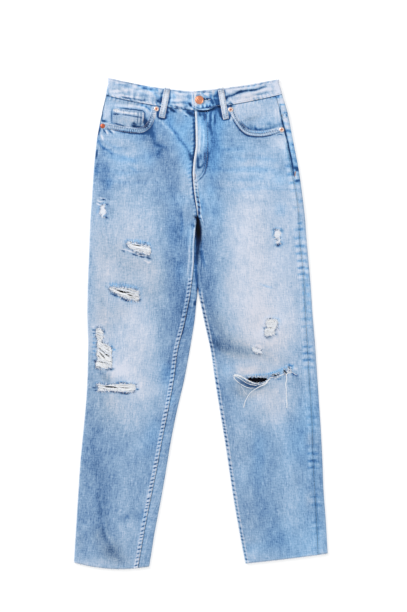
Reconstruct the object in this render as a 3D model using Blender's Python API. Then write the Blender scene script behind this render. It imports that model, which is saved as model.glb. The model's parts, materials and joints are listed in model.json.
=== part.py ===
"""Ripped straight-leg jeans, laid flat with the front up.

Every piece a maker would cut is one closed wall. A leg laid flat is a ring: a flat top layer, a flat
under layer and a round fold at each edge. Each half of the garment has a table of such rings, and each
panel is the stretch of the rings between two seams. Lengths are in millimetres until the last step.
The wearer's right is at -X, the waist at +Y, and the front faces +Z.
"""

import math
from collections import namedtuple

import bmesh
import bpy
from mathutils import Vector

MM = 0.001

# Cloth
DENIM = 1.2
SEAM_GAP = 0.3
LAYER_GAP = 0.3
BAND_WALL = 2.4
BAND_PROUD = 0.5
LOOP_WIDTH = 12.0
LOOP_WALL = 1.5
LOOP_ON_BAND = 39.0
LOOP_STEP = 6.0
COIN_WALL = 1.0
ZIP_WALL = 1.2
SHIELD_WALL = 1.0
HIP_HEIGHT = 6.2
LEG_HEIGHT = 5.0

# Lap of the waistband and what closes it
LAP = 35.0
LAP_RISE = BAND_WALL + LAYER_GAP
LAP_RAMP = 10.0
BUTTON_AT = (-3.0, 446.0)
BUTTON_RADIUS = 8.5
BUTTON_HEIGHT = 3.2
SHANK_RADIUS = 1.4

RIVET_RADIUS = 4.8
RIVET_HEIGHT = 1.6
RIVETS_AT = ((-196.0, 394.5), (-88.5, 428.5), (59.6, 427.0), (161.5, 387.0))

# Sizes of the mesh
MIN_STEP = 0.4
FLAT_STEPS = 8
FOLD_STEPS = 4
ROUND_STEPS = 16

Row = namedtuple(
    "Row", "outer_x outer_y front_x front_y back_y bow base height closed outseam inseam"
)

# A row for each ring from the waist to the hem. outer is the silhouette's edge, front the centre front
# or the leg's inner fold. back_y is the row's height at the centre back, bow its sag, base its lift off
# the ground. outseam and inseam are how far each seam has turned on to the top layer from the fold.
RIGHT_HIP = (
    Row(-182, 490, -14, 463, 463, 4.0, 2.3, HIP_HEIGHT, False, 0, 0),
    Row(-189, 456, -14, 426, 426, 3.6, 2.3, HIP_HEIGHT, False, 0, 0),
    Row(-198, 421, -13, 399, 361, 2.0, 2.0, HIP_HEIGHT, False, 0, 0),
    Row(-208, 367, -11, 353, 330, 1.0, 1.5, HIP_HEIGHT, False, 0, 0),
    Row(-214, 307, -13, 299, 286, 0.0, 1.5, HIP_HEIGHT, False, 0, 0),
    Row(-217, 255, -10, 251, 246, 0.0, 1.5, HIP_HEIGHT, False, 0, 0),
)
RIGHT_LEG = (
    Row(-220, 215, -7, 215, 215, 0.0, 1.5, 6.0, True, 0, 0),
    Row(-221, 200, -7, 198, 198, 0.0, 1.5, 5.9, True, 0, 0.9),
    Row(-221.5, 185, -7, 181, 181, 0.0, 1.5, 5.7, True, 0, 2.2),
    Row(-222, 171, -7, 165, 165, 0.0, 1.5, 5.6, True, 0, 3.8),
    Row(-224, 119, -6, 111, 111, 0.0, 0.8, 5.2, True, 0, 8.5),
    Row(-226, 73, -7, 63, 63, 0.0, 0.0, LEG_HEIGHT, True, 0, 13.5),
    Row(-227, 19, -12, 7, 7, 0.0, 0.0, LEG_HEIGHT, True, 0, 19),
    Row(-225, -39, -22, -53, -53, 0.0, 0.0, LEG_HEIGHT, True, 0, 25),
    Row(-226, -97, -33, -113, -113, 0.0, 0.0, LEG_HEIGHT, True, 0, 21),
    Row(-229, -157, -48, -175, -175, 0.0, 0.0, LEG_HEIGHT, True, 0, 17.5),
    Row(-235, -217, -60, -235, -235, 0.0, 0.0, LEG_HEIGHT, True, 0, 18),
    Row(-241, -279, -70, -297, -297, 0.0, 0.0, LEG_HEIGHT, True, 0, 19),
    Row(-245, -341, -81, -359, -359, 0.0, 0.0, LEG_HEIGHT, True, 0, 21),
    Row(-249, -405, -93, -421, -421, 0.0, 0.0, LEG_HEIGHT, True, 0, 21),
    Row(-253.5, -477, -103, -485, -485, 8.6, 0.0, LEG_HEIGHT, True, 0, 23),
)
LEFT_HIP = (
    Row(153, 487, -14, 463, 463, 2.0, 2.3, HIP_HEIGHT, False, 12, 0),
    Row(162, 458, -14, 426, 426, 2.6, 2.3, HIP_HEIGHT, False, 12, 0),
    Row(174, 421, -13, 399, 361, 2.0, 2.0, HIP_HEIGHT, False, 14.5, 0),
    Row(184, 367, -11, 353, 330, 1.0, 1.5, HIP_HEIGHT, False, 14, 0),
    Row(196, 307, -13, 299, 286, 0.0, 1.5, HIP_HEIGHT, False, 15.5, 0),
    Row(203, 255, -10, 251, 246, 0.0, 1.5, HIP_HEIGHT, False, 11.5, 0),
)
LEFT_LEG = (
    Row(208, 215, -5, 215, 215, 0.0, 1.5, 6.0, True, 12.5, 0),
    Row(211, 171, -3, 163, 163, 0.0, 1.5, 5.6, True, 14.5, 0.5),
    Row(216, 117, -4, 109, 109, 0.0, 0.8, 5.2, True, 13, 0.5),
    Row(220, 71, -5, 61, 61, 0.0, 0.0, LEG_HEIGHT, True, 13, 0.5),
    Row(223, 21, 6, 7, 7, 0.0, 0.0, LEG_HEIGHT, True, 14, 0.5),
    Row(225.5, -8, 13, -23, -23, 0.0, 0.0, LEG_HEIGHT, True, 15, 0.5),
    Row(228, -37, 20, -53, -53, 0.0, 0.0, LEG_HEIGHT, True, 15.5, 0.5),
    Row(230, -66, 24, -83, -83, 0.0, 0.0, LEG_HEIGHT, True, 16, 0.5),
    Row(232, -95, 28, -113, -113, 0.0, 0.0, LEG_HEIGHT, True, 16.5, 0.5),
    Row(236, -155, 38, -175, -175, 0.0, 0.0, LEG_HEIGHT, True, 16, 0.5),
    Row(240, -213, 48, -235, -235, 0.0, 0.0, LEG_HEIGHT, True, 17, 0.5),
    Row(243, -273, 57, -295, -295, 0.0, 0.0, LEG_HEIGHT, True, 19, 0.5),
    Row(245, -333, 66, -355, -355, 0.0, 0.0, LEG_HEIGHT, True, 17.5, 0.5),
    Row(250, -395, 77, -417, -417, 0.0, 0.0, LEG_HEIGHT, True, 18.5, 0.5),
    Row(253.5, -459, 89, -479, -479, 1.0, 0.0, LEG_HEIGHT, True, 19.5, 0.5),
)
WAIST, BAND_SEAM, YOKE_SEAM, HIP = range(4)
HALVES = {"right": RIGHT_HIP + RIGHT_LEG, "left": LEFT_HIP + LEFT_LEG}

# Corners of each pocket mouth, from the waistband round to the side, and the radius of its turn.
Mouth = namedtuple("Mouth", "top corner side radius facing_reach")
MOUTHS = {
    "right": Mouth((-95, 441), (-109, 384), (-230, 405), 27.0, 112.0),
    "left": Mouth((55, 444), (88, 378), (181, 400), 45.0, 124.0),
}

# Tears that go right through a front panel: the middle, the length and width, and the turn in degrees.
Tear = namedtuple("Tear", "panel x y length width turn")
BUTTONHOLE = Tear("waistband", 4.5, 446, 24, 4, 0)
TEARS = (
    Tear("right", -127, 149, 50, 7, 0),
    Tear("right", -150, 59, 56, 7, -20),
    Tear("right", -194, -50, 62, 14, 88),
    Tear("right", -175, -129, 64, 7, 0),
    Tear("left", 122, -105, 92, 13, 3),
    Tear("left", 112, -48, 18, 5, 0),
)

# Soft folds that lift the top layer: the line that each runs along, its half-width and its height.
Fold = namedtuple("Fold", "start end half_width height")
FOLDS = (
    Fold((30, -44), (118, -60), 34.0, 2.6),
    Fold((-30, -236), (-120, -262), 46.0, 1.6),
    Fold((-205, -392), (-150, -470), 40.0, 1.8),
    Fold((90, -388), (190, -352), 48.0, 1.5),
)

ZIP_OUTLINE = ((-16, 420), (8, 420), (8, 300), (-16, 300))
SHIELD_OUTLINE = ((-22, 420), (24, 420), (24, 300), (4, 284), (-22, 284))
FLY_MIDDLE_Y = 380.0
COIN_CORNERS = ((-175, 431), (-113, 424.5), (-116, 396), (-176.5, 399))
CENTRE_BACK = -12.0
BACK_POCKET = ((-152, 362), (-38, 345), (-42, 236), (-95, 205), (-148, 236))


def blank_scene():
    for item in list(bpy.data.objects):
        bpy.data.objects.remove(item)


def material(name, colour, roughness, metallic=0.0):
    made = bpy.data.materials.new(name)
    made.use_nodes = True
    shader = made.node_tree.nodes["Principled BSDF"]
    shader.inputs["Base Color"].default_value = (*colour, 1.0)
    shader.inputs["Roughness"].default_value = roughness
    shader.inputs["Metallic"].default_value = metallic
    return made


def finish(name, shape, surface, smooth=False):
    """Makes the object from a bmesh in millimetres."""
    bmesh.ops.recalc_face_normals(shape, faces=shape.faces)
    bmesh.ops.scale(shape, vec=Vector((MM, MM, MM)), verts=shape.verts)
    mesh = bpy.data.meshes.new(name)
    shape.to_mesh(mesh)
    shape.free()
    if smooth:
        mesh.shade_smooth()
        mesh.set_sharp_from_angle(angle=math.radians(40))
    made = bpy.data.objects.new(name, mesh)
    made.data.materials.append(surface)
    bpy.context.scene.collection.objects.link(made)
    return made


def blend_rows(first, second, share):
    """The ring that lies between two others, with the first's way of closing."""
    mixed = [a + (b - a) * share for a, b in zip(first, second)]
    return Row(*mixed)._replace(closed=first.closed)


def shifted(row, rise):
    """The same ring a little higher up the garment."""
    return row._replace(
        outer_y=row.outer_y + rise, front_y=row.front_y + rise, back_y=row.back_y + rise
    )


def fold_length(row):
    """From the middle of a fold to where the layer is flat, along the middle of the wall."""
    return (row.height - DENIM) / 2 * math.pi / 2


def ring_reach(row):
    """From the middle of the outer fold over the top layer to the centre front or the inner fold."""
    width = abs(row.front_x - row.outer_x)
    far_fold = fold_length(row) - row.height / 2 if row.closed else 0.0
    return fold_length(row) + width - row.height / 2 + far_fold


def fold_rise(x, y):
    """How far the soft folds lift the top layer here."""
    rise = 0.0
    for fold in FOLDS:
        start = Vector(fold.start)
        line = Vector(fold.end) - start
        share = (Vector((x, y)) - start).dot(line) / line.length_squared
        nearest = start + line * min(1.0, max(0.0, share))
        away = (Vector((x, y)) - nearest).length / fold.half_width
        rise += fold.height * max(0.0, 1.0 - away**2) ** 2
    return rise


def ring_point(row, along, depth):
    """A point of the ring: along from the outer fold, positive over the top, and depth inside its skin."""
    reach = ring_reach(row)
    if row.closed and along < -reach:
        along += 2 * reach
    layer = 1 if along >= 0 else -1
    along = abs(along)
    half = row.height / 2
    fold = fold_length(row)
    middle = half - DENIM / 2
    width = abs(row.front_x - row.outer_x)
    if along < fold:
        angle = along / middle
        across = half - (half - depth) * math.cos(angle)
        rise = (half - depth) * math.sin(angle)
    elif row.closed and along > reach - fold:
        angle = (reach - along) / middle
        across = width - half + (half - depth) * math.cos(angle)
        rise = (half - depth) * math.sin(angle)
    else:
        across = half + along - fold
        rise = half - depth
    share = across / width
    inner_y = row.front_y if layer > 0 else row.back_y
    x = row.outer_x + share * (row.front_x - row.outer_x)
    y = row.outer_y + share * (inner_y - row.outer_y) - 4 * row.bow * share * (1 - share)
    lift = fold_rise(x, y) * max(0.0, layer * rise) / half
    return Vector((x, y, row.base + half + layer * rise + lift))


def in_order(marks):
    """Marks kept at least a step apart: the first ones are pushed on, the last ones pushed back."""
    marks = list(marks)
    middle = len(marks) // 2
    for at in range(1, middle):
        marks[at] = max(marks[at], marks[at - 1] + MIN_STEP)
    for at in range(len(marks) - 2, middle - 1, -1):
        marks[at] = min(marks[at], marks[at + 1] - MIN_STEP)
    return marks


def spread(marks, steps):
    """Positions from the first mark to the last, with the stated number of steps between two."""
    found = [marks[0]]
    for start, end, count in zip(marks, marks[1:], steps):
        found += [start + (end - start) * (at + 1) / count for at in range(count)]
    return found


def front_places(row):
    reach = ring_reach(row)
    fold = fold_length(row)
    marks = (row.outseam + SEAM_GAP / 2, fold, reach - fold, reach - row.inseam - SEAM_GAP / 2)
    return spread(in_order(marks), (FOLD_STEPS - 1, FLAT_STEPS, FOLD_STEPS - 1))


def back_places(row):
    reach = ring_reach(row)
    fold = fold_length(row)
    marks = (
        -reach - row.inseam + SEAM_GAP / 2,
        -reach - fold,
        -reach + fold,
        -fold,
        fold,
        row.outseam - SEAM_GAP / 2,
    )
    return spread(in_order(marks), (1, FOLD_STEPS, FLAT_STEPS, FOLD_STEPS, 1))


def shell(skin, lining):
    """A closed wall between two grids of points that have the same rows and columns."""
    shape = bmesh.new()
    grids = [[[shape.verts.new(p) for p in line] for line in grid] for grid in (skin, lining)]
    last_row = len(skin) - 1
    last_column = len(skin[0]) - 1
    for grid in grids:
        for i in range(last_row):
            for j in range(last_column):
                shape.faces.new((grid[i][j], grid[i][j + 1], grid[i + 1][j + 1], grid[i + 1][j]))
    outer, inner = grids
    for j in range(last_column):
        for i in (0, last_row):
            shape.faces.new((outer[i][j], outer[i][j + 1], inner[i][j + 1], inner[i][j]))
    for i in range(last_row):
        for j in (0, last_column):
            shape.faces.new((outer[i][j], outer[i + 1][j], inner[i + 1][j], inner[i][j]))
    return shape


def ring_wall(rows, places, depth, wall):
    """The wall that runs through these rings at these places."""
    found = [places(row) for row in rows]
    skin = [[ring_point(r, d, depth) for d in line] for r, line in zip(rows, found)]
    lining = [[ring_point(r, d, depth + wall) for d in line] for r, line in zip(rows, found)]
    return shell(skin, lining)


def level(side, y, layer):
    """The skin's height on the flat of the top layer (1) or the under layer (-1), by the front's rows."""
    rows = HALVES[side]
    for upper, lower in zip(rows, rows[1:]):
        if y >= lower.front_y:
            break
    share = min(1.0, max(0.0, (upper.front_y - y) / (upper.front_y - lower.front_y)))
    ring = blend_rows(upper, lower, share)
    return ring.base + (ring.height if layer > 0 else 0.0)


def rounded_corner(start, corner, end, radius, steps):
    """The points of an arc that rounds the corner between two straight lines."""
    corner = Vector(corner).to_2d()
    to_start = (Vector(start).to_2d() - corner).normalized()
    to_end = (Vector(end).to_2d() - corner).normalized()
    half_angle = to_start.angle(to_end) / 2
    middle = corner + (to_start + to_end).normalized() * radius / math.sin(half_angle)
    first = corner + to_start * radius / math.tan(half_angle) - middle
    last = corner + to_end * radius / math.tan(half_angle) - middle
    turn = first.angle(last)
    found = []
    for at in range(steps + 1):
        share = at / steps
        ray = (first * math.sin((1 - share) * turn) + last * math.sin(share * turn)) / math.sin(turn)
        found.append(middle + ray)
    return found


def slit(tear, points=10):
    """The outline of a tear: two shallow arcs that meet in points."""
    turn = math.radians(tear.turn)
    found = []
    for at in range(points):
        angle = math.tau * at / points
        reach = tear.length / 2 * math.cos(angle)
        aside = tear.width / 2 * math.sin(angle)
        x = reach * math.cos(turn) - aside * math.sin(turn)
        y = reach * math.sin(turn) + aside * math.cos(turn)
        found.append(Vector((tear.x + x, tear.y + y)))
    return found


def prism(outline, low, high):
    """A straight-sided solid on an outline. low and high are heights, or functions of a point."""
    low_at = low if callable(low) else lambda point: low
    high_at = high if callable(high) else lambda point: high
    shape = bmesh.new()
    under = [shape.verts.new((p[0], p[1], low_at(p))) for p in outline]
    over = [shape.verts.new((p[0], p[1], high_at(p))) for p in outline]
    shape.faces.new(under)
    shape.faces.new(over)
    for at in range(len(outline)):
        to = (at + 1) % len(outline)
        shape.faces.new((under[at], under[to], over[to], over[at]))
    return shape


def cut(body, name, outline, low=-10.0, high=30.0):
    """Cuts a straight hole in the body between two heights, or right through it."""
    cutter = finish(name, prism(outline, low, high), CUTTER)
    cutter.hide_render = True
    cutter.display_type = "WIRE"
    boolean = body.modifiers.new(name, "BOOLEAN")
    boolean.operation = "DIFFERENCE"
    boolean.object = cutter


def make_fronts():
    for side, rows in HALVES.items():
        rows = [shifted(rows[BAND_SEAM], -SEAM_GAP / 2), *rows[YOKE_SEAM:]]
        panel = finish(f"front_{side}", ring_wall(rows, front_places, 0.0, DENIM), DENIM_CLOTH)
        mouth = MOUTHS[side]
        turn = rounded_corner(mouth.top, mouth.corner, mouth.side, mouth.radius, 6)
        far_top = (mouth.side[0], 500.0)
        near_top = (mouth.top[0], 500.0)
        cut(panel, f"cut_mouth_{side}", [near_top, mouth.top, *turn, mouth.side, far_top])
        for number, tear in enumerate(TEARS):
            if tear.panel == side:
                cut(panel, f"cut_tear_{number}", slit(tear))


def make_backs():
    for side, rows in HALVES.items():
        yoke_rows = [
            shifted(rows[BAND_SEAM], -SEAM_GAP / 2),
            blend_rows(rows[BAND_SEAM], rows[YOKE_SEAM], 0.5),
            shifted(rows[YOKE_SEAM], SEAM_GAP / 2),
        ]
        finish(f"yoke_{side}", ring_wall(yoke_rows, back_places, 0.0, DENIM), YOKE_CLOTH)
        panel_rows = [shifted(rows[YOKE_SEAM], -SEAM_GAP / 2), *rows[HIP:]]
        finish(f"back_{side}", ring_wall(panel_rows, back_places, 0.0, DENIM), BACK_CLOTH)


def make_facings():
    """Each facing runs from the outseam to past the mouth, just under the front panel."""
    for side, rows in HALVES.items():
        reach = MOUTHS[side].facing_reach
        depth = DENIM + LAYER_GAP

        def places(row):
            fold = fold_length(row)
            marks = (row.outseam + SEAM_GAP, fold, reach - MIN_STEP, reach)
            return spread(in_order(marks), (FOLD_STEPS - 1, FLAT_STEPS - 2, 1))

        facing_rows = [
            shifted(rows[BAND_SEAM], -SEAM_GAP / 2),
            rows[YOKE_SEAM],
            rows[HIP],
            blend_rows(rows[HIP], rows[HIP + 1], 0.3),
        ]
        finish(f"facing_{side}", ring_wall(facing_rows, places, depth, DENIM), FACING_CLOTH)


def make_coin_pocket():
    """It lies on the right facing, as high as the front panel that the facing shows through."""

    def low(point):
        return level("right", point[1], 1) - DENIM

    def high(point):
        return low(point) + COIN_WALL

    finish("coin_pocket", prism(COIN_CORNERS, low, high), COIN_CLOTH)


def make_back_pockets():
    for side, turn in (("right", 1), ("left", -1)):
        outline = [(CENTRE_BACK + turn * (x - CENTRE_BACK), y) for x, y in BACK_POCKET]
        finish(f"pocket_back_{side}", prism(outline, 0.0, DENIM), POCKET_CLOTH)


def make_fly():
    """The zip and, below it, the shield lie behind the centre front."""
    zip_top = level("left", FLY_MIDDLE_Y, 1) - DENIM - 2 * LAYER_GAP
    shield_top = zip_top - ZIP_WALL - LAYER_GAP
    finish("zip", prism(ZIP_OUTLINE, zip_top - ZIP_WALL, zip_top), ZIP_TAPE)
    finish("fly_shield", prism(SHIELD_OUTLINE, shield_top - SHIELD_WALL, shield_top), COIN_CLOTH)


def band_samples():
    """Places round the waistband, from its under end over the right half to its lapped end."""
    left = HALVES["left"]
    right = HALVES["right"]
    reach_left = ring_reach(left[WAIST])
    found = [("left", reach_left - LAP + LAP * at / 2, 0.0) for at in range(2)]
    reach = ring_reach(right[WAIST])
    fold = fold_length(right[WAIST])
    marks = (-reach, -fold, fold, reach)
    round_right = spread(marks, (FLAT_STEPS - 2, 2 * FOLD_STEPS - 2, FLAT_STEPS - 2))
    found += [("right", place, 0.0) for place in reversed(round_right)]
    ramp_end = reach_left - LAP - 2.0
    marks = (-reach_left, -fold, fold, ramp_end - LAP_RAMP, ramp_end, reach_left)
    for place in spread(marks, (FLAT_STEPS - 2, 2 * FOLD_STEPS - 2, FLAT_STEPS - 3, 2, 2))[1:]:
        rise = LAP_RISE * min(1.0, max(0.0, (place - ramp_end + LAP_RAMP) / LAP_RAMP))
        found.append(("left", place, rise))
    return found


def band_point(side, number, place, depth):
    """The waistband's rows share their places: a place is a share of the row's own reach."""
    row = HALVES[side][number]
    if number == BAND_SEAM:
        row = shifted(row, SEAM_GAP / 2)
    fold = fold_length(row)
    flat = ring_reach(HALVES[side][WAIST]) - fold
    if abs(place) > fold:
        share = (abs(place) - fold) / flat
        place = math.copysign(fold + share * (ring_reach(row) - fold), place)
    return ring_point(row, place, depth)


def make_waistband():
    samples = band_samples()
    grids = []
    for depth in (-BAND_PROUD, BAND_WALL - BAND_PROUD):
        grid = []
        for number in (WAIST, BAND_SEAM):
            line = [band_point(s, number, place, depth) + Vector((0, 0, r)) for s, place, r in samples]
            grid.append(line)
        grids.append(grid)
    band = finish("waistband", shell(*grids), BAND_CLOTH)
    under_lap = level("left", BUTTON_AT[1], 1) + BAND_PROUD
    cut(band, "cut_buttonhole", slit(BUTTONHOLE, 12), low=under_lap + LAYER_GAP / 2)


def make_loop(name, top, bottom, layer):
    """A belt loop from the waistband's top edge to below its seam, on the top or the under layer."""
    top = Vector((*top, 0))
    bottom = Vector((*bottom, 0))
    down = (bottom - top).normalized()
    across = Vector((-down.y, down.x, 0)) * LOOP_WIDTH / 2
    length = (bottom - top).length
    side = "left" if top.x > 0 else "right"
    skin = []
    lining = []
    for along in (0.0, LOOP_ON_BAND / 2, LOOP_ON_BAND, LOOP_ON_BAND + LOOP_STEP, length):
        middle = top + down * along
        proud = BAND_PROUD if along <= LOOP_ON_BAND else 0.0
        if layer > 0:
            low = level(side, middle.y, 1) + proud + LAYER_GAP
        else:
            low = 0.0
        edge = [middle - across, middle + across]
        skin.append([p + Vector((0, 0, low + LOOP_WALL)) for p in edge])
        lining.append([p + Vector((0, 0, low)) for p in edge])
    finish(name, shell(skin, lining), LOOP_CLOTH)


def make_loops():
    make_loop("loop_front_right", (-67, 468), (-78, 412), 1)
    make_loop("loop_front_left", (39.5, 468), (50.5, 409), 1)
    make_loop("loop_back_right", (-118, 473), (-120, 414), -1)
    make_loop("loop_back_left", (92, 473), (94, 414), -1)
    make_loop("loop_back_centre", (-14, 461), (-14, 403), -1)


def turned(profile):
    """A solid of revolution about Z. The profile's radius and height pairs start and end on the axis."""
    shape = bmesh.new()
    points = [shape.verts.new((radius, 0, height)) for radius, height in profile]
    edges = [shape.edges.new(pair) for pair in zip(points, points[1:])]
    bmesh.ops.spin(
        shape,
        geom=points + edges,
        axis=(0, 0, 1),
        cent=(0, 0, 0),
        angle=math.tau,
        steps=ROUND_STEPS,
        use_merge=True,
    )
    bmesh.ops.remove_doubles(shape, verts=shape.verts, dist=0.001)
    return shape


def make_rivets():
    profile = (
        (0, 0),
        (RIVET_RADIUS, 0),
        (RIVET_RADIUS, 0.3 * RIVET_HEIGHT),
        (0.75 * RIVET_RADIUS, RIVET_HEIGHT),
        (0, RIVET_HEIGHT),
    )
    for number, (x, y) in enumerate(RIVETS_AT):
        side = "left" if x > 0 else "right"
        shape = turned(profile)
        height = level(side, y, 1) + LAYER_GAP
        bmesh.ops.translate(shape, vec=(x, y, height), verts=shape.verts)
        finish(f"rivet_{number + 1}", shape, COPPER, smooth=True)


def make_button():
    under_top = level("left", BUTTON_AT[1], 1) + BAND_PROUD
    head = LAP_RISE + LAYER_GAP
    profile = (
        (0, LAYER_GAP),
        (SHANK_RADIUS, LAYER_GAP),
        (SHANK_RADIUS, head),
        (BUTTON_RADIUS, head),
        (BUTTON_RADIUS, head + 0.45 * BUTTON_HEIGHT),
        (BUTTON_RADIUS * 0.8, head + BUTTON_HEIGHT),
        (0, head + BUTTON_HEIGHT),
    )
    shape = turned(profile)
    bmesh.ops.translate(shape, vec=(*BUTTON_AT, under_top), verts=shape.verts)
    finish("button", shape, COPPER, smooth=True)


blank_scene()
DENIM_CLOTH = material("denim_front", (0.42, 0.55, 0.72), 0.9)
BACK_CLOTH = material("denim_back", (0.36, 0.50, 0.68), 0.9)
YOKE_CLOTH = material("denim_yoke", (0.38, 0.52, 0.70), 0.9)
FACING_CLOTH = material("denim_facing", (0.22, 0.36, 0.55), 0.9)
COIN_CLOTH = material("denim_coin", (0.46, 0.58, 0.72), 0.9)
POCKET_CLOTH = material("denim_pocket", (0.42, 0.56, 0.74), 0.9)
BAND_CLOTH = material("denim_band", (0.48, 0.60, 0.74), 0.9)
LOOP_CLOTH = material("denim_loop", (0.52, 0.64, 0.78), 0.9)
ZIP_TAPE = material("zip_tape", (0.25, 0.28, 0.32), 0.7)
COPPER = material("copper", (0.60, 0.28, 0.16), 0.35, 1.0)
CUTTER = material("cutter", (0.8, 0.1, 0.1), 0.5)
make_fronts()
make_backs()
make_facings()
make_coin_pocket()
make_back_pockets()
make_fly()
make_waistband()
make_loops()
make_rivets()
make_button()
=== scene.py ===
# %% [markdown]
# # Ripped jeans, laid flat
#
# The jeans lie on a pale floor with their front up. A leg that is laid flat is a flattened tube: a top
# layer, an under layer and a soft fold along each side. Every cut panel is a stretch of that tube
# between two seams, so all of the cloth here comes from one idea: a flat grid, sent on to the tube.
#
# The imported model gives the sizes. Nothing below repeats them: the outlines, seams and heights are
# measured on it first, and the cloth is then laid through them.

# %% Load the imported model
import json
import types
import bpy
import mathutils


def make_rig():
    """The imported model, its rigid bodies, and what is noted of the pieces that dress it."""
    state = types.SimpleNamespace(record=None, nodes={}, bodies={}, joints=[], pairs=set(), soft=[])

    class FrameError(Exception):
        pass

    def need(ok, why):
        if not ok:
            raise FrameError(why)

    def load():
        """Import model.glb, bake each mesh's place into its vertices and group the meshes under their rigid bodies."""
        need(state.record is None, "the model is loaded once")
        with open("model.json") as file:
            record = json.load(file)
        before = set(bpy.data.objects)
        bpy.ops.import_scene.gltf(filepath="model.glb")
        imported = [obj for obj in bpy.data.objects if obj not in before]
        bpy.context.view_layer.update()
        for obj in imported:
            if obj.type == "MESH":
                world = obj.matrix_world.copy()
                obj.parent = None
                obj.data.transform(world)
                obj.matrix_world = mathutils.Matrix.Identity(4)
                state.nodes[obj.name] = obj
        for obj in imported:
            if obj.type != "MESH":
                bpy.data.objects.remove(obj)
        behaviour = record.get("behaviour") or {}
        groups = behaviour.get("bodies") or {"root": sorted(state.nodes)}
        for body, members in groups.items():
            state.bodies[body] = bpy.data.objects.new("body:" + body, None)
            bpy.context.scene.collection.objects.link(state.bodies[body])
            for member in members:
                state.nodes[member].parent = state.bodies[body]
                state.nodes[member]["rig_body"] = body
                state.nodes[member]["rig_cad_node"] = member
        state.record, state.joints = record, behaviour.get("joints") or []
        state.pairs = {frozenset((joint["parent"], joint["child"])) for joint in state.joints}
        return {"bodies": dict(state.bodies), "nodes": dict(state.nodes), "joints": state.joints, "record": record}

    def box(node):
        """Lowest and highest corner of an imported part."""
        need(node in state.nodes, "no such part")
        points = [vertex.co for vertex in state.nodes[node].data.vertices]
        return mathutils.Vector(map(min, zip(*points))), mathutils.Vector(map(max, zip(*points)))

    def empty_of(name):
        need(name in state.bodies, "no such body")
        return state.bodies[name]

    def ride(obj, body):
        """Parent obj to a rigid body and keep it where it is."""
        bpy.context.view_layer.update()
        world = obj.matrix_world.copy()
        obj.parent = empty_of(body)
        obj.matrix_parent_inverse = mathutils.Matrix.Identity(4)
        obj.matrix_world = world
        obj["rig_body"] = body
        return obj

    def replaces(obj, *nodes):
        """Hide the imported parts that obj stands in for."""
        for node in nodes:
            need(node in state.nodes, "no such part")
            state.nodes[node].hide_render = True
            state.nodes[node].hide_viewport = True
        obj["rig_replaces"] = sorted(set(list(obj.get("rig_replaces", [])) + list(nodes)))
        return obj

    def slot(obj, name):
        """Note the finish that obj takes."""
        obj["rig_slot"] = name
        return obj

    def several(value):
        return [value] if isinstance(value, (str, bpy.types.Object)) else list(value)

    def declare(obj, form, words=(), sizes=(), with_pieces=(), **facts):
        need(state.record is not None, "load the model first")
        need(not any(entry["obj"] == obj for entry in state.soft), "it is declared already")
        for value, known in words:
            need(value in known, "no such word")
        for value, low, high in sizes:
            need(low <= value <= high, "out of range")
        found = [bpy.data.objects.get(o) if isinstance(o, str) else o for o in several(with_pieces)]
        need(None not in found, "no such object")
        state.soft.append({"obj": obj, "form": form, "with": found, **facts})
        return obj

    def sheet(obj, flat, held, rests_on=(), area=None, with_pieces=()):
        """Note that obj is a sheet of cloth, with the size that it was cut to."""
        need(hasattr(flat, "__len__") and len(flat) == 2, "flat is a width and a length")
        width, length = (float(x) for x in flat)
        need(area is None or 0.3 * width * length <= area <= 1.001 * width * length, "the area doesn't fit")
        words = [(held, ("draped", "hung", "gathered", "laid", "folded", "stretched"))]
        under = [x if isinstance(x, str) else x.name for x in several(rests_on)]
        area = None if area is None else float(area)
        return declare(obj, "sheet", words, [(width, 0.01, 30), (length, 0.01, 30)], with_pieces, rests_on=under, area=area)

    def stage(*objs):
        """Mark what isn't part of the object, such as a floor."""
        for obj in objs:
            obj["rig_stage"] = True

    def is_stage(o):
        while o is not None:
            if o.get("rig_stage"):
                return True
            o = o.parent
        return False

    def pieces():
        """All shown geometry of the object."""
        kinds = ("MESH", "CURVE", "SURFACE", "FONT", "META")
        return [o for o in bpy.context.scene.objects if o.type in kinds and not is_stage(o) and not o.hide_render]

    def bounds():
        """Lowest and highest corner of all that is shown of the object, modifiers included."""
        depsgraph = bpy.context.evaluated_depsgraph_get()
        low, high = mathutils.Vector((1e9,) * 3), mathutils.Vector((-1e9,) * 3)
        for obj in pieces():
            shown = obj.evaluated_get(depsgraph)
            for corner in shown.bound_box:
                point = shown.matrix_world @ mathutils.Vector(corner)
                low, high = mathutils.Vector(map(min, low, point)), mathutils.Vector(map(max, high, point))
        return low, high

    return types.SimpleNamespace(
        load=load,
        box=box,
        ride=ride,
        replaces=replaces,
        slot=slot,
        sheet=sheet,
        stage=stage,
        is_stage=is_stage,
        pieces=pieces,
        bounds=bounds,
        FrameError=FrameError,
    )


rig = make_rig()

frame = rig.load()

import json
import math
from collections import namedtuple

import bmesh
import bpy
import numpy as np
from mathutils import Vector
from mathutils.bvhtree import BVHTree

CAD_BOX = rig.bounds()
MM = 0.001
print("nodes:", ", ".join(sorted(frame["nodes"])))

# %% [markdown]
# ## Measuring the garment
#
# A plane that cuts a node's mesh meets its edges at points. The outermost of those points is the
# outline there. Cutting each half every few millimetres gives its outer edge, its inner edge, its seams
# and its heights as smooth tables that can be read at any height of the leg. All lengths are in
# millimetres, with y running up the garment, until a mesh is finished.

# %% Cutting nodes with a plane
X, Y, Z = range(3)
EDGES = {}


def node_edges(name):
    if name not in EDGES:
        mesh = frame["nodes"][name].data
        points = np.empty(3 * len(mesh.vertices))
        ends = np.empty(2 * len(mesh.edges), np.int32)
        mesh.vertices.foreach_get("co", points)
        mesh.edges.foreach_get("vertices", ends)
        EDGES[name] = points.reshape(-1, 3)[ends.reshape(-1, 2)] / MM
    return EDGES[name]


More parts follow.
